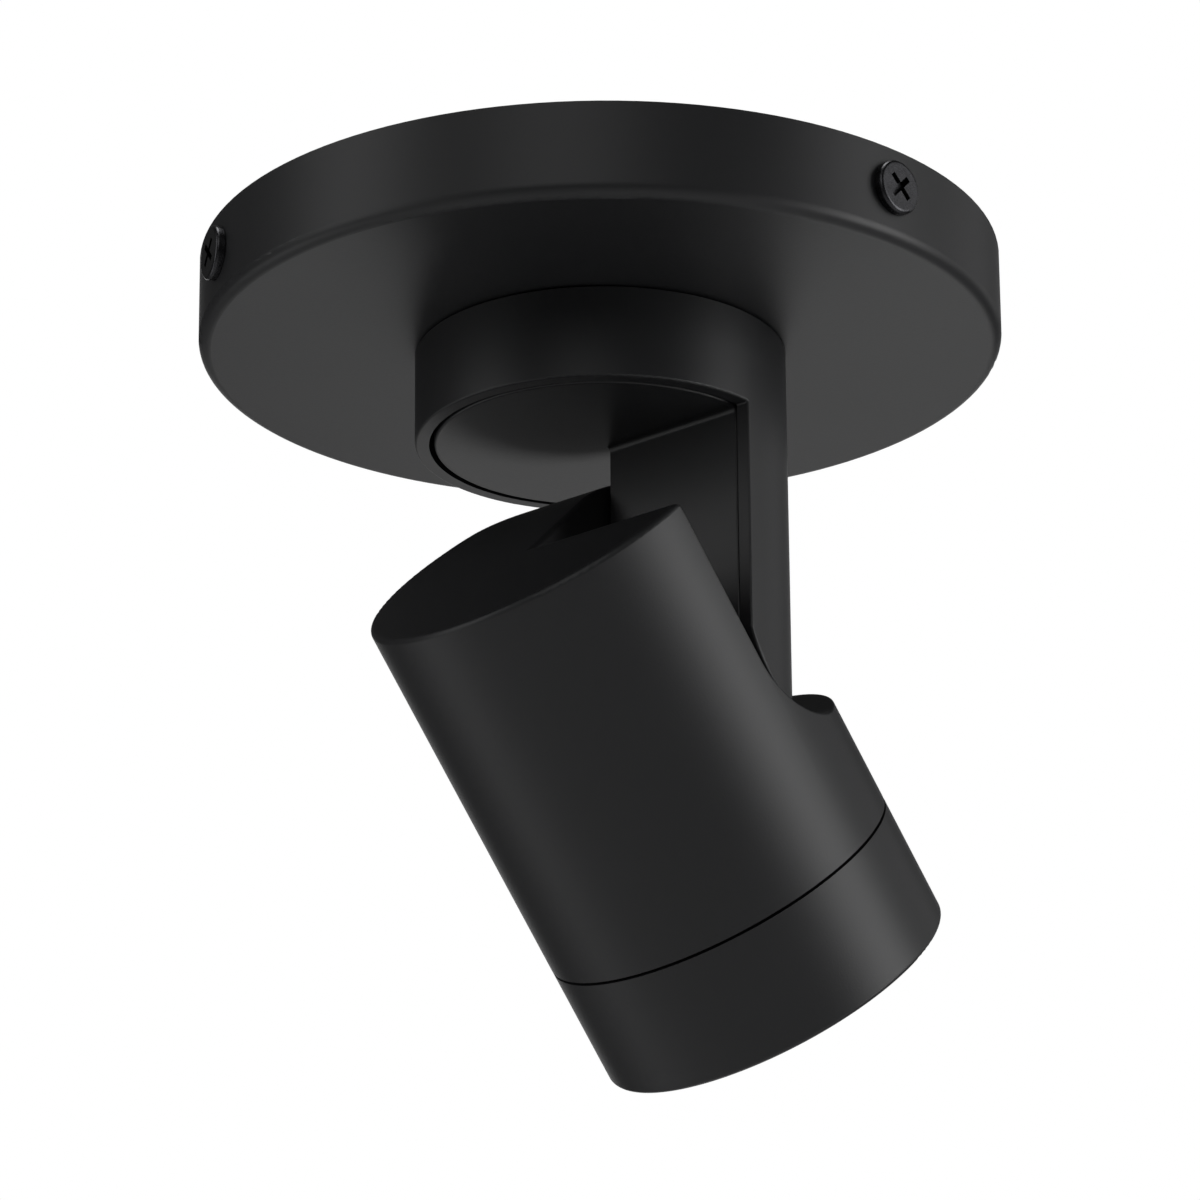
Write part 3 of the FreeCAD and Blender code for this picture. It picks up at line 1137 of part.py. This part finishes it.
def makeLight():
    side = ("-lightSide / 2", "lightSide / 2")
    keepOnHead(makeBox("ThermalPad", side, side, ("lightTop", "sinkFoot")), "thermal_pad")
    keepOnHead(makeBox("LightBoard", side, side, ("lightFoot", "lightTop")), "light_board")
    keepOnHead(makeRod("LightEmitter", "emitterRadius", "emitterFoot", "lightFoot"), "light_emitter")

    cup = turnBody("HolderCup", [
        ("holderSkirt", "sinkFoot"),
        ("holderSkirt", "lightFoot"),
        ("holderWindow", "lightFoot"),
        ("holderWindow + emitterThickness", "holderFoot"),
        ("holderRadius", "holderFoot"),
        ("holderRadius", "sinkFoot"),
    ])
    port = makeRod("Port", "cableRadius + slideGap", "portRadius", "holderRadius + overrun", z="portHeight",
                   along="x")
    tools = [turnRound(group("PortTurned", [port]), "atan(cableHeadY / cableHeadX)")]
    screws = []
    for i, angle in enumerate(holderScrewTurns):
        x, y = "holderScrewPlace * cos(%s)" % angle, "holderScrewPlace * sin(%s)" % angle
        tools.append(makeRod("HolderHole%d" % i, "holderScrewRadius + threadClearance",
                             "holderFoot - overrun", "sinkFoot + overrun", x, y))
        tools.append(makeRod("HolderWell%d" % i, "holderHeadRadius + slideGap", "holderFoot - overrun",
                             "holderHeadSeat", x, y))
        screw = makeScrew("HolderScrew%d" % i, "holderScrewRadius", "holderScrewLength", "holderHeadRadius",
                          "holderHeadHeight")
        screws.append(turnOver(screw, x, y, "holderHeadSeat"))
    for i, (x, y) in enumerate(makeBossPlaces()):
        tools.append(makeRod("HolderNotch%d" % i, "smallHeadRadius + seatGap", "holderFoot - overrun",
                             "sinkFoot + overrun", x, y))
    keepOnHead(cut("LightHolder", cup, tools), "light_holder")
    keepOnHead(group("HolderScrews", screws), "light_holder_screws")
    keepOnHead(turnBody("Reflector", [
        ("reflectorThroat", "reflectorTop"),
        ("reflectorMouth", "neckFoot"),
        ("flangeRadius", "neckFoot"),
        ("flangeRadius", "neckFoot + reflectorFlange"),
        ("reflectorMouth + reflectorWall", "neckFoot + reflectorFlange"),
        ("reflectorThroat + reflectorWall", "reflectorTop"),
    ], {0: "-reflectorSweep", 4: "reflectorSweep"}), "reflector")
    turned = "portRadius / cablePlace"
    points = [
        ("hingeOffset", "0", "0"),
        ("hingeOffset", "cableHeadY", "0"),
        ("cableHeadX", "cableHeadY", "portHeight"),
        ("cableHeadX * " + turned, "cableHeadY * " + turned, "portHeight"),
    ]
    keepOnHead(makeCable("LampCableHead", points, "cableRadius"), "lamp_cable_head")
    keepOnHead(makeRing("HingeNylonWasher", "washerRadius", "tubeHole", "kneeInner", "nylonEnd",
                        x="hingeOffset", along="y"), "hinge_nylon_washer")


# Front ring: locks on the neck with three lugs and holds the glass

def makeFrontRing():
    blank = turnBody("RingBlank", [
        ("headRadius", "ringTop"),
        ("headRadius", "-rimDrop"),
        ("mouthRadius", "-rimDrop"),
        ("baffleRadius", "glassFoot"),
        ("ringBore", "glassFoot"),
        ("ringBore", "ringTop"),
    ])
    rounded = roundEdges("RingRounded", blank, "rimEdge", lambda edge: (
        isCircle(edge, "headRadius") and near(edge.CenterOfMass.z, "-rimDrop")))
    tools = []
    for i in range(int(size("lugCount"))):
        start = "%d * 360 / lugCount - ringTwist - lugPlay" % i
        entry = "lugTurn + 2 * lugPlay"
        tools.append(makeSector("LugTrack%d" % i, "lugTrack", "neckBore", "neckFoot - seatGap",
                                "lugTop + seatGap", start, "ringTwist + " + entry))
        tools.append(makeSector("LugEntry%d" % i, "lugTrack", "neckBore", "neckFoot - seatGap",
                                "ringTop + overrun", start, entry))
    groove = doc.addObject("Part::Torus", "ClipGroove")
    moveTo(bind(groove, Radius1="ringBore", Radius2="clipWireRadius + threadClearance"), z="clipHeight")
    keepOnHead(cut("FrontRing", rounded, tools + [groove]), "front_ring")
    keepOnHead(makeRod("FrontGlass", "glassRadius", "glassFoot", "glassTop"), "front_glass")
    keepOnHead(makeRing("Gasket", "gasketRadius", "gasketRadius - gasketWidth", "glassTop", "gasketTop"),
               "gasket")
    clip = doc.addObject("Part::Torus", "ClipWire")
    moveTo(bind(clip, Radius1="ringBore", Radius2="clipWireRadius", Angle3="clipTurn"), z="clipHeight")
    keepOnHead(group("GlassClip", [clip]), "glass_clip")


def checkObjects():
    doc.recompute()
    faults = [item.Name for item in doc.Objects if set(item.State) & {"Invalid", "Error"}]
    for node in nodes:
        shape = node.Shape
        if shape.isNull() or not shape.isValid() or not shape.Solids:
            faults.append("%s (shape)" % node.Label)
    if faults:
        raise RuntimeError("faults: " + ", ".join(faults))


def writeParts():
    os.makedirs("parts", exist_ok=True)
    for node in nodes:
        node.Shape.exportStep("parts/%s.step" % node.Label)
        print("%-24s %2d solids %10.1f mm3" % (node.Label, len(node.Shape.Solids), node.Shape.Volume))
    print(len(nodes), "nodes")


makeCanopy()
makeCanopyScrews()
makePlate()
makeGround()
makeTerminalBlock()
makeDriver()
makeSwivel()
makeCanopyWires()
makeArm()
makeArmCover()
makeHinge()
makeHeadShell()
makeHeatSink()
makeLight()
makeFrontRing()
checkObjects()
writeParts()
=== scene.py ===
# Looks of a small ceiling spotlight: a round pan, a swivel arm and a tilting head with a twist-off ring.
import math
import bpy
from mathutils import Matrix, Vector

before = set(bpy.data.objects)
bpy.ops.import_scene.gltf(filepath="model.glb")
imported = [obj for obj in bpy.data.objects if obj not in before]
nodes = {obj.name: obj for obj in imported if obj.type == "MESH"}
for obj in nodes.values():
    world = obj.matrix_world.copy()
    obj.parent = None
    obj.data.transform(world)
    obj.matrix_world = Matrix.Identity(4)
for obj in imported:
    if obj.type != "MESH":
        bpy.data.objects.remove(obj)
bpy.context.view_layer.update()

print("frame loaded:", len(nodes), "nodes")


def towards(turn, rise):  # a direction, from degrees round from the front and degrees up
    turn, rise = math.radians(turn), math.radians(rise)
    return Vector((math.sin(turn) * math.cos(rise), -math.cos(turn) * math.cos(rise), math.sin(rise)))


cameraSetup = {
    "target": (0.0, 0.0, -0.05118),  # point that the lens looks at, on the swivel axis
    "turn": -49.09,
    "rise": -20.359,                 # the eye is below the pan and looks up
    "roll": -0.479,
    "distance": 0.9376,
    "lens": 175.845,
    "sensor": 36.0,
    "shift": (-0.00162, -0.03079),
    "clip": (0.01, 20),
}


def makeCamera(setup):
    roll = math.radians(setup["roll"])
    back = towards(setup["turn"], setup["rise"])
    right = Vector((0, 0, 1)).cross(back).normalized()
    up = back.cross(right)
    rolledRight = right * math.cos(roll) + up * math.sin(roll)
    rolledUp = up * math.cos(roll) - right * math.sin(roll)
    lens = bpy.data.cameras.new("photoCamera")
    lens.lens = setup["lens"]
    lens.sensor_width = setup["sensor"]
    lens.shift_x, lens.shift_y = setup["shift"]
    lens.clip_start, lens.clip_end = setup["clip"]
    made = bpy.data.objects.new("photoCamera", lens)
    turn = Matrix((rolledRight, rolledUp, back)).transposed().to_4x4()
    made.matrix_world = Matrix.Translation(Vector(setup["target"]) + back * setup["distance"]) @ turn
    bpy.context.collection.objects.link(made)
    bpy.context.scene.camera = made


makeCamera(cameraSetup)
print("camera placed")


softNoise = {"Detail": 2.0, "Roughness": 0.5}
lineNoise = {"Detail": 2.0, "Roughness": 0.6}
grainNoise = {"Detail": 3.0, "Roughness": 0.6}
noiseMiddle = 0.5


class Link:  # one socket of a node tree, so that a pattern is written as a sum
    def __init__(self, tree, socket=None):
        self.tree = tree
        self.socket = socket

    def node(self, kind, settings=None, inputs=None, output=0):  # any node, with its settings first
        made = self.tree.nodes.new("ShaderNode" + kind)
        for name, value in (settings or {}).items():
            setattr(made, name, value)
        for name, value in (inputs or {}).items():
            if isinstance(value, Link):
                self.tree.links.new(value.socket, made.inputs[name])
            else:
                made.inputs[name].default_value = value
        return Link(self.tree, made.outputs[output] if len(made.outputs) else None)

    def sum(self, operation, first, second, clamp=False):
        return self.node("Math", {"operation": operation, "use_clamp": clamp}, {0: first, 1: second})

    def __add__(self, other):
        return self.sum("ADD", self, other)

    def __sub__(self, other):
        return self.sum("SUBTRACT", self, other)

    def __rsub__(self, other):
        return self.sum("SUBTRACT", other, self)

    def __mul__(self, other):
        return self.sum("MULTIPLY", self, other)

    __radd__ = __add__
    __rmul__ = __mul__

    def mix(self, first, second):  # this value picks between two colours
        return self.node("Mix", {"data_type": "RGBA"}, {0: self, 6: (*first, 1), 7: (*second, 1)}, 2)

    def bump(self, distance):  # this value as height, in metres
        return self.node("Bump", None, {"Height": self, "Distance": distance})

    def spread(self, width):  # this noise, round zero and this wide
        return (self - noiseMiddle) * width


def noiseOf(net, place, scale, kind=softNoise):
    return net.node("TexNoise", None, {"Vector": place, "Scale": scale, **kind})


def startMaterial(name):
    made = bpy.data.materials.new(name)
    made.use_nodes = True
    made.node_tree.nodes.clear()
    return made, Link(made.node_tree)


# each finish gives the shader's inputs, from the net, the place on the piece and the look's values

def paintedMetal(net, place, look):  # satin powder coat: a fine pebbled skin and slow changes of sheen
    pebbles = noiseOf(net, place, look["pebbleScale"], grainNoise)
    cloud = noiseOf(net, place, look["cloudScale"])
    return {
        "Base Color": cloud.mix(look["deep"], look["pale"]),
        "Roughness": look["roughness"] + cloud.spread(look["sheenSpread"])
                     + pebbles.spread(look["sheenGrain"]),
        "IOR": look["ior"],
        "Normal": pebbles.bump(look["pebbleHeight"]),
    }


def metal(net, place, look):  # bare, plated or blackened metal with faint tool lines
    stretched = net.node("Mapping", None, {"Vector": place, "Scale": look["stretch"]})
    lines = noiseOf(net, stretched, look["lineScale"], lineNoise)
    cloud = noiseOf(net, place, look["cloudScale"], grainNoise)
    return {
        "Base Color": cloud.mix(look["deep"], look["pale"]),
        "Metallic": 1.0,
        "Roughness": look["roughness"] + lines.spread(look["sheenGrain"])
                     + cloud.spread(look["sheenSpread"]),
        "Normal": lines.bump(look["lineHeight"]),
    }


def plastic(net, place, look):  # moulded plastic or rubber, with a fine spark-eroded skin
    skin = noiseOf(net, place, look["skinScale"])
    cloud = noiseOf(net, place, look["cloudScale"])
    return {
        "Base Color": cloud.mix(look["deep"], look["pale"]),
        "Roughness": look["roughness"] + skin.spread(look["sheenGrain"]),
        "IOR": look["ior"],
        "Normal": skin.bump(look["skinHeight"]),
    }


def circuitBoard(net, place, look):  # solder mask with tracks under it
    turned = net.node("Mapping", None, {"Vector": place, "Rotation": look["turn"]})
    cells = net.node("TexVoronoi", {"distance": "MANHATTAN", "feature": "F1"},
                     {"Vector": turned, "Scale": look["cellScale"]}, "Distance")
    tracks = net.sum("PINGPONG", cells * look["trackCount"], 1.0)
    mask = net.sum("MULTIPLY", tracks, look["edgeSharpness"], True)
    return {
        "Base Color": mask.mix(look["track"], look["mask"]),
        "Roughness": look["roughness"] + (1 - mask) * look["sheenSpread"],
        "IOR": look["ior"],
        "Normal": (1 - mask).bump(look["trackHeight"]),
    }


def glass(net, place, look):
    cloud = noiseOf(net, place, look["cloudScale"])
    return {
        "Base Color": cloud.mix(look["deep"], look["pale"]),
        "Roughness": look["roughness"] + cloud * look["sheenSpread"],
        "IOR": look["ior"],
        "Transmission Weight": 1.0,
    }


def brightCup(net, place, look):  # metallised cup with small dimples
    dimples = net.node("TexVoronoi", {"feature": "SMOOTH_F1"}, {
        "Vector": place, "Scale": look["dimpleScale"], "Smoothness": look["dimpleSoftness"]}, "Distance")
    cloud = noiseOf(net, place, look["cloudScale"])
    return {
        "Base Color": cloud.mix(look["deep"], look["pale"]),
        "Metallic": 1.0,
        "Roughness": look["roughness"] + cloud.spread(look["sheenSpread"]),
        "Normal": dimples.bump(look["dimpleHeight"]),
    }


# scales are patterns to a metre, heights are in metres

blackPaint = {
    "finish": paintedMetal, "deep": (0.0125, 0.0128, 0.0140), "pale": (0.0165, 0.0168, 0.0182),
    "roughness": 0.44, "sheenSpread": 0.04, "sheenGrain": 0.06, "ior": 1.5,
    "pebbleScale": 2600, "pebbleHeight": 0.000012, "cloudScale": 28,
}
steel = {
    "finish": metal, "deep": (0.50, 0.51, 0.53), "pale": (0.64, 0.64, 0.66),
    "roughness": 0.34, "sheenSpread": 0.12, "sheenGrain": 0.16,
    "stretch": (1, 1, 12), "lineScale": 900, "lineHeight": 0.000008, "cloudScale": 220,
}
softPlastic = {
    "finish": plastic, "deep": (0.76, 0.76, 0.73), "pale": (0.86, 0.86, 0.84),
    "roughness": 0.45, "sheenGrain": 0.1, "ior": 1.5,
    "skinScale": 3200, "skinHeight": 0.000008, "cloudScale": 120,
}
board = {
    "finish": circuitBoard, "mask": (0.02, 0.16, 0.06), "track": (0.05, 0.28, 0.1), "turn": (0, 0, 0.4),
    "roughness": 0.38, "sheenSpread": 0.12, "ior": 1.5,
    "edgeSharpness": 3.0, "cellScale": 120, "trackCount": 5.0, "trackHeight": 0.00003,
}

looks = {  # each finish, with the nodes that wear it
    "blackPan": dict(blackPaint, wornBy=["canopy"]),
    "blackCasting": dict(blackPaint, wornBy=["arm", "head_shell", "front_ring"], cloudScale=36),
    "blackCover": dict(blackPaint, wornBy=["arm_cover"], roughness=0.4, cloudScale=44),
    "blackScrew": dict(
        steel, wornBy=["canopy_screws"], deep=(0.035, 0.035, 0.037), pale=(0.075, 0.075, 0.08),
        roughness=0.27, sheenSpread=0.2, cloudScale=700, lineScale=2400, lineHeight=0.00001),
    "zincSteel": dict(
        steel, wornBy=["mounting_plate", "clamp_screws", "terminal_block_screws", "swivel_tube",
                       "swivel_upper_nut", "swivel_lower_nut", "hinge_tube", "hinge_arm_nut",
                       "hinge_head_nut", "heat_sink_screws", "light_holder_screws",
                       "swivel_toothed_washer", "hinge_toothed_washer"]),
    "springSteel": dict(
        steel, wornBy=["swivel_spring_washer", "hinge_spring_washer", "swivel_slip_washer",
                       "hinge_slip_washer", "swivel_stop_pin", "tilt_stop_pin", "glass_clip"],
        deep=(0.34, 0.34, 0.36), pale=(0.46, 0.46, 0.48), roughness=0.28),
    "greenScrew": dict(
        blackPaint, wornBy=["ground_screw"], deep=(0.03, 0.2, 0.06), pale=(0.05, 0.3, 0.1),
        roughness=0.3, cloudScale=500),
    "tinnedCopper": dict(
        steel, wornBy=["ring_tag"], deep=(0.6, 0.57, 0.52), pale=(0.74, 0.72, 0.68), roughness=0.3),
    "whitePlastic": dict(
        softPlastic, wornBy=["driver_case", "driver_lid", "light_holder", "driver_terminals"]),
    "brass": dict(
        steel, wornBy=["terminal_barrels"], deep=(0.6, 0.44, 0.18), pale=(0.74, 0.58, 0.28),
        roughness=0.26),
    "foam": dict(
        softPlastic, wornBy=["driver_pad"], deep=(0.06, 0.06, 0.06), pale=(0.14, 0.14, 0.14),
        roughness=0.9, skinScale=1400, skinHeight=0.00008),
    "boardGreen": dict(board, wornBy=["driver_board"]),
    "blackPlastic": dict(
        softPlastic, wornBy=["driver_capacitor"], deep=(0.025, 0.025, 0.028),
        pale=(0.045, 0.045, 0.05), roughness=0.3),
    "yellowTape": dict(
        softPlastic, wornBy=["driver_transformer"], deep=(0.66, 0.5, 0.08), pale=(0.82, 0.66, 0.16),
        roughness=0.35),
    "nylon": dict(
        softPlastic, wornBy=["terminal_block", "swivel_nylon_washer", "hinge_nylon_washer"],
        deep=(0.8, 0.78, 0.71), pale=(0.88, 0.87, 0.82), roughness=0.4),
    "blackWire": dict(
        softPlastic, wornBy=["live_wire"], deep=(0.02, 0.02, 0.02), pale=(0.035, 0.035, 0.035),
        roughness=0.32),
    "whiteWire": dict(softPlastic, wornBy=["neutral_wire"], roughness=0.32),
    "greenWire": dict(
        softPlastic, wornBy=["ground_wire"], deep=(0.06, 0.34, 0.1), pale=(0.1, 0.46, 0.15),
        roughness=0.32),
    "cableJacket": dict(
        softPlastic, wornBy=["lamp_cable_canopy", "lamp_cable_arm", "lamp_cable_head"],
        deep=(0.035, 0.035, 0.036), pale=(0.055, 0.055, 0.056), roughness=0.36),
    "castAluminium": dict(
        steel, wornBy=["heat_sink"], deep=(0.56, 0.56, 0.57), pale=(0.7, 0.7, 0.71),
        roughness=0.46, stretch=(1, 1, 1), lineScale=1500, lineHeight=0.00002),
    "greyPad": dict(
        softPlastic, wornBy=["thermal_pad"], deep=(0.42, 0.42, 0.44), pale=(0.52, 0.52, 0.54),
        roughness=0.7),
    "whiteBoard": dict(
        board, wornBy=["light_board"], mask=(0.82, 0.82, 0.8), track=(0.72, 0.72, 0.69),
        turn=(0, 0, 0.8), cellScale=90, trackCount=4.0, trackHeight=0.00002),
    "phosphor": dict(
        softPlastic, wornBy=["light_emitter"], deep=(0.8, 0.6, 0.1), pale=(0.86, 0.7, 0.2),
        roughness=0.5),
    "brightReflector": {
        "finish": brightCup, "wornBy": ["reflector"], "deep": (0.8, 0.8, 0.81),
        "pale": (0.88, 0.88, 0.89), "roughness": 0.16, "sheenSpread": 0.08, "cloudScale": 60,
        "dimpleScale": 700, "dimpleSoftness": 0.6, "dimpleHeight": 0.00006,
    },
    "clearGlass": {
        "finish": glass, "wornBy": ["front_glass"], "deep": (0.95, 0.97, 0.97),
        "pale": (0.98, 0.99, 0.99), "roughness": 0.02, "sheenSpread": 0.02, "cloudScale": 40,
        "ior": 1.5,
    },
    "blackRubber": dict(
        softPlastic, wornBy=["gasket"], deep=(0.025, 0.025, 0.025), pale=(0.045, 0.045, 0.045),
        roughness=0.6),
}

bare = set(nodes)
for name, look in looks.items():
    made, net = startMaterial(name)
    inputs = look["finish"](net, net.node("TexCoord", None, None, "Object"), look)
    net.node("OutputMaterial", None, {"Surface": net.node("BsdfPrincipled", None, inputs, "BSDF")})
    for node in look["wornBy"]:
        nodes[node].data.materials.clear()
        nodes[node].data.materials.append(made)
        bare.discard(node)
print("finishes made:", len(looks), "nodes without one:", sorted(bare))


white = (1, 1, 1, 1)
studio = {  # lengths in metres, angles in degrees
    "middle": (0, 0, -0.07),  # where the softboxes point
    "floorDrop": 1.1, "floorRadius": 5.0, "floorSides": 96,
    "floorShade": (0.8, 0.8, 0.8, 1), "floorRoughness": 0.7,
    "floorPaleness": 0.6,  # share of white for the lens and for glass, so that the shadow still shows
    "roomLevel": 0.055,
    "backdropTurn": 131.0, "backdropRise": 10.0,  # behind the object as the lens sees it
    "backdropReach": 18.0, "backdropFade": 6.0,
}
lamps = {  # turn and rise as seen from the middle, in degrees, and the rest in metres and watts
    "rightSoftbox": {"turn": 30, "rise": -5, "away": 1.5, "size": (0.7, 1.0), "power": 8.0},
    "highRightSoftbox": {"turn": 30, "rise": 20, "away": 1.5, "size": (0.8, 0.8), "power": 1.9},
    "farRightSoftbox": {"turn": 75, "rise": 15, "away": 1.5, "size": (0.8, 0.8), "power": 0.8},
    "frontSoftbox": {"turn": 300, "rise": 25, "away": 1.5, "size": (0.9, 0.9), "power": 2.4},
    "leftSoftbox": {"turn": 240, "rise": 12, "away": 1.5, "size": (0.8, 1.5), "power": 4.5},
    "leftLowSoftbox": {"turn": 210, "rise": -30, "away": 1.2, "size": (0.72, 0.48), "power": 0.82},
    "rearLowSoftbox": {"turn": 120, "rise": -35, "away": 1.2, "size": (0.72, 0.48), "power": 1.2},
    "overheadSoftbox": {"turn": 0, "rise": 90, "away": 3.0, "size": (1.6, 1.6), "power": 33.0},
}


def makeFloor(setup):
    bpy.ops.object.select_all(action="DESELECT")
    bpy.ops.mesh.primitive_circle_add(vertices=setup["floorSides"], radius=setup["floorRadius"],
                                      fill_type="NGON", location=(0, 0, -setup["floorDrop"]))
    floor = bpy.context.object
    floor.name = "floor"
    made, net = startMaterial("paleFloor")
    plain = net.node("BsdfPrincipled", None, {
        "Base Color": setup["floorShade"], "Roughness": setup["floorRoughness"]}, "BSDF")
    glow = net.node("Emission", None, {"Color": white, "Strength": 1.0})
    lens = net.node("LightPath", None, None, "Is Camera Ray")
    through = net.node("LightPath", None, None, "Is Transmission Ray")
    share = net.sum("MAXIMUM", lens, through) * setup["floorPaleness"]
    pale = net.node("MixShader", None, {0: share, 1: plain, 2: glow})
    net.node("OutputMaterial", None, {"Surface": pale})
    floor.data.materials.append(made)


def makeLamps(lamps, middle):
    for name, lamp in lamps.items():
        light = bpy.data.lights.new(name, "AREA")
        light.shape = "RECTANGLE"
        light.size, light.size_y = lamp["size"]
        light.energy = lamp["power"]
        made = bpy.data.objects.new(name, light)
        outward = towards(lamp["turn"], lamp["rise"])
        made.location = Vector(middle) + outward * lamp["away"]
        made.rotation_mode = "QUATERNION"
        made.rotation_quaternion = (-outward).to_track_quat("-Z", "Y")
        bpy.context.collection.objects.link(made)


def makeRoom(setup):  # a dim room, all white to the lens and to glass
    world = bpy.data.worlds.new("studioRoom")
    bpy.context.scene.world = world
    world.use_nodes = True
    world.node_tree.nodes.clear()
    net = Link(world.node_tree)
    lens = net.node("LightPath", None, None, "Is Camera Ray")
    shine = net.node("LightPath", None, None, "Is Glossy Ray")
    through = net.node("LightPath", None, None, "Is Transmission Ray")
    way = net.node("TexCoord", None, None, "Generated")
    behind = towards(setup["backdropTurn"], setup["backdropRise"])
    ahead = net.node("VectorMath", {"operation": "DOT_PRODUCT"}, {0: way, 1: behind}, "Value")
    reach, fade = setup["backdropReach"], setup["backdropFade"]
    backdrop = net.node("MapRange", {"interpolation_type": "SMOOTHSTEP"}, {
        "Value": ahead,
        "From Min": math.cos(math.radians(reach + fade)),
        "From Max": math.cos(math.radians(reach - fade)),
    }, "Result")
    # what shines shows white only in the backdrop: a white room would turn the black paint grey
    seen = net.sum("MAXIMUM", net.sum("MAXIMUM", lens, through), shine * backdrop)
    dim = net.node("Background", None, {"Color": white, "Strength": setup["roomLevel"]})
    bright = net.node("Background", None, {"Color": white, "Strength": 1.0})
    net.node("OutputWorld", None, {"Surface": net.node("MixShader", None, {0: seen, 1: dim, 2: bright})})


makeFloor(studio)
makeLamps(lamps, studio["middle"])
makeRoom(studio)
bpy.context.scene.view_settings.view_transform = "Standard"
print("studio lit")
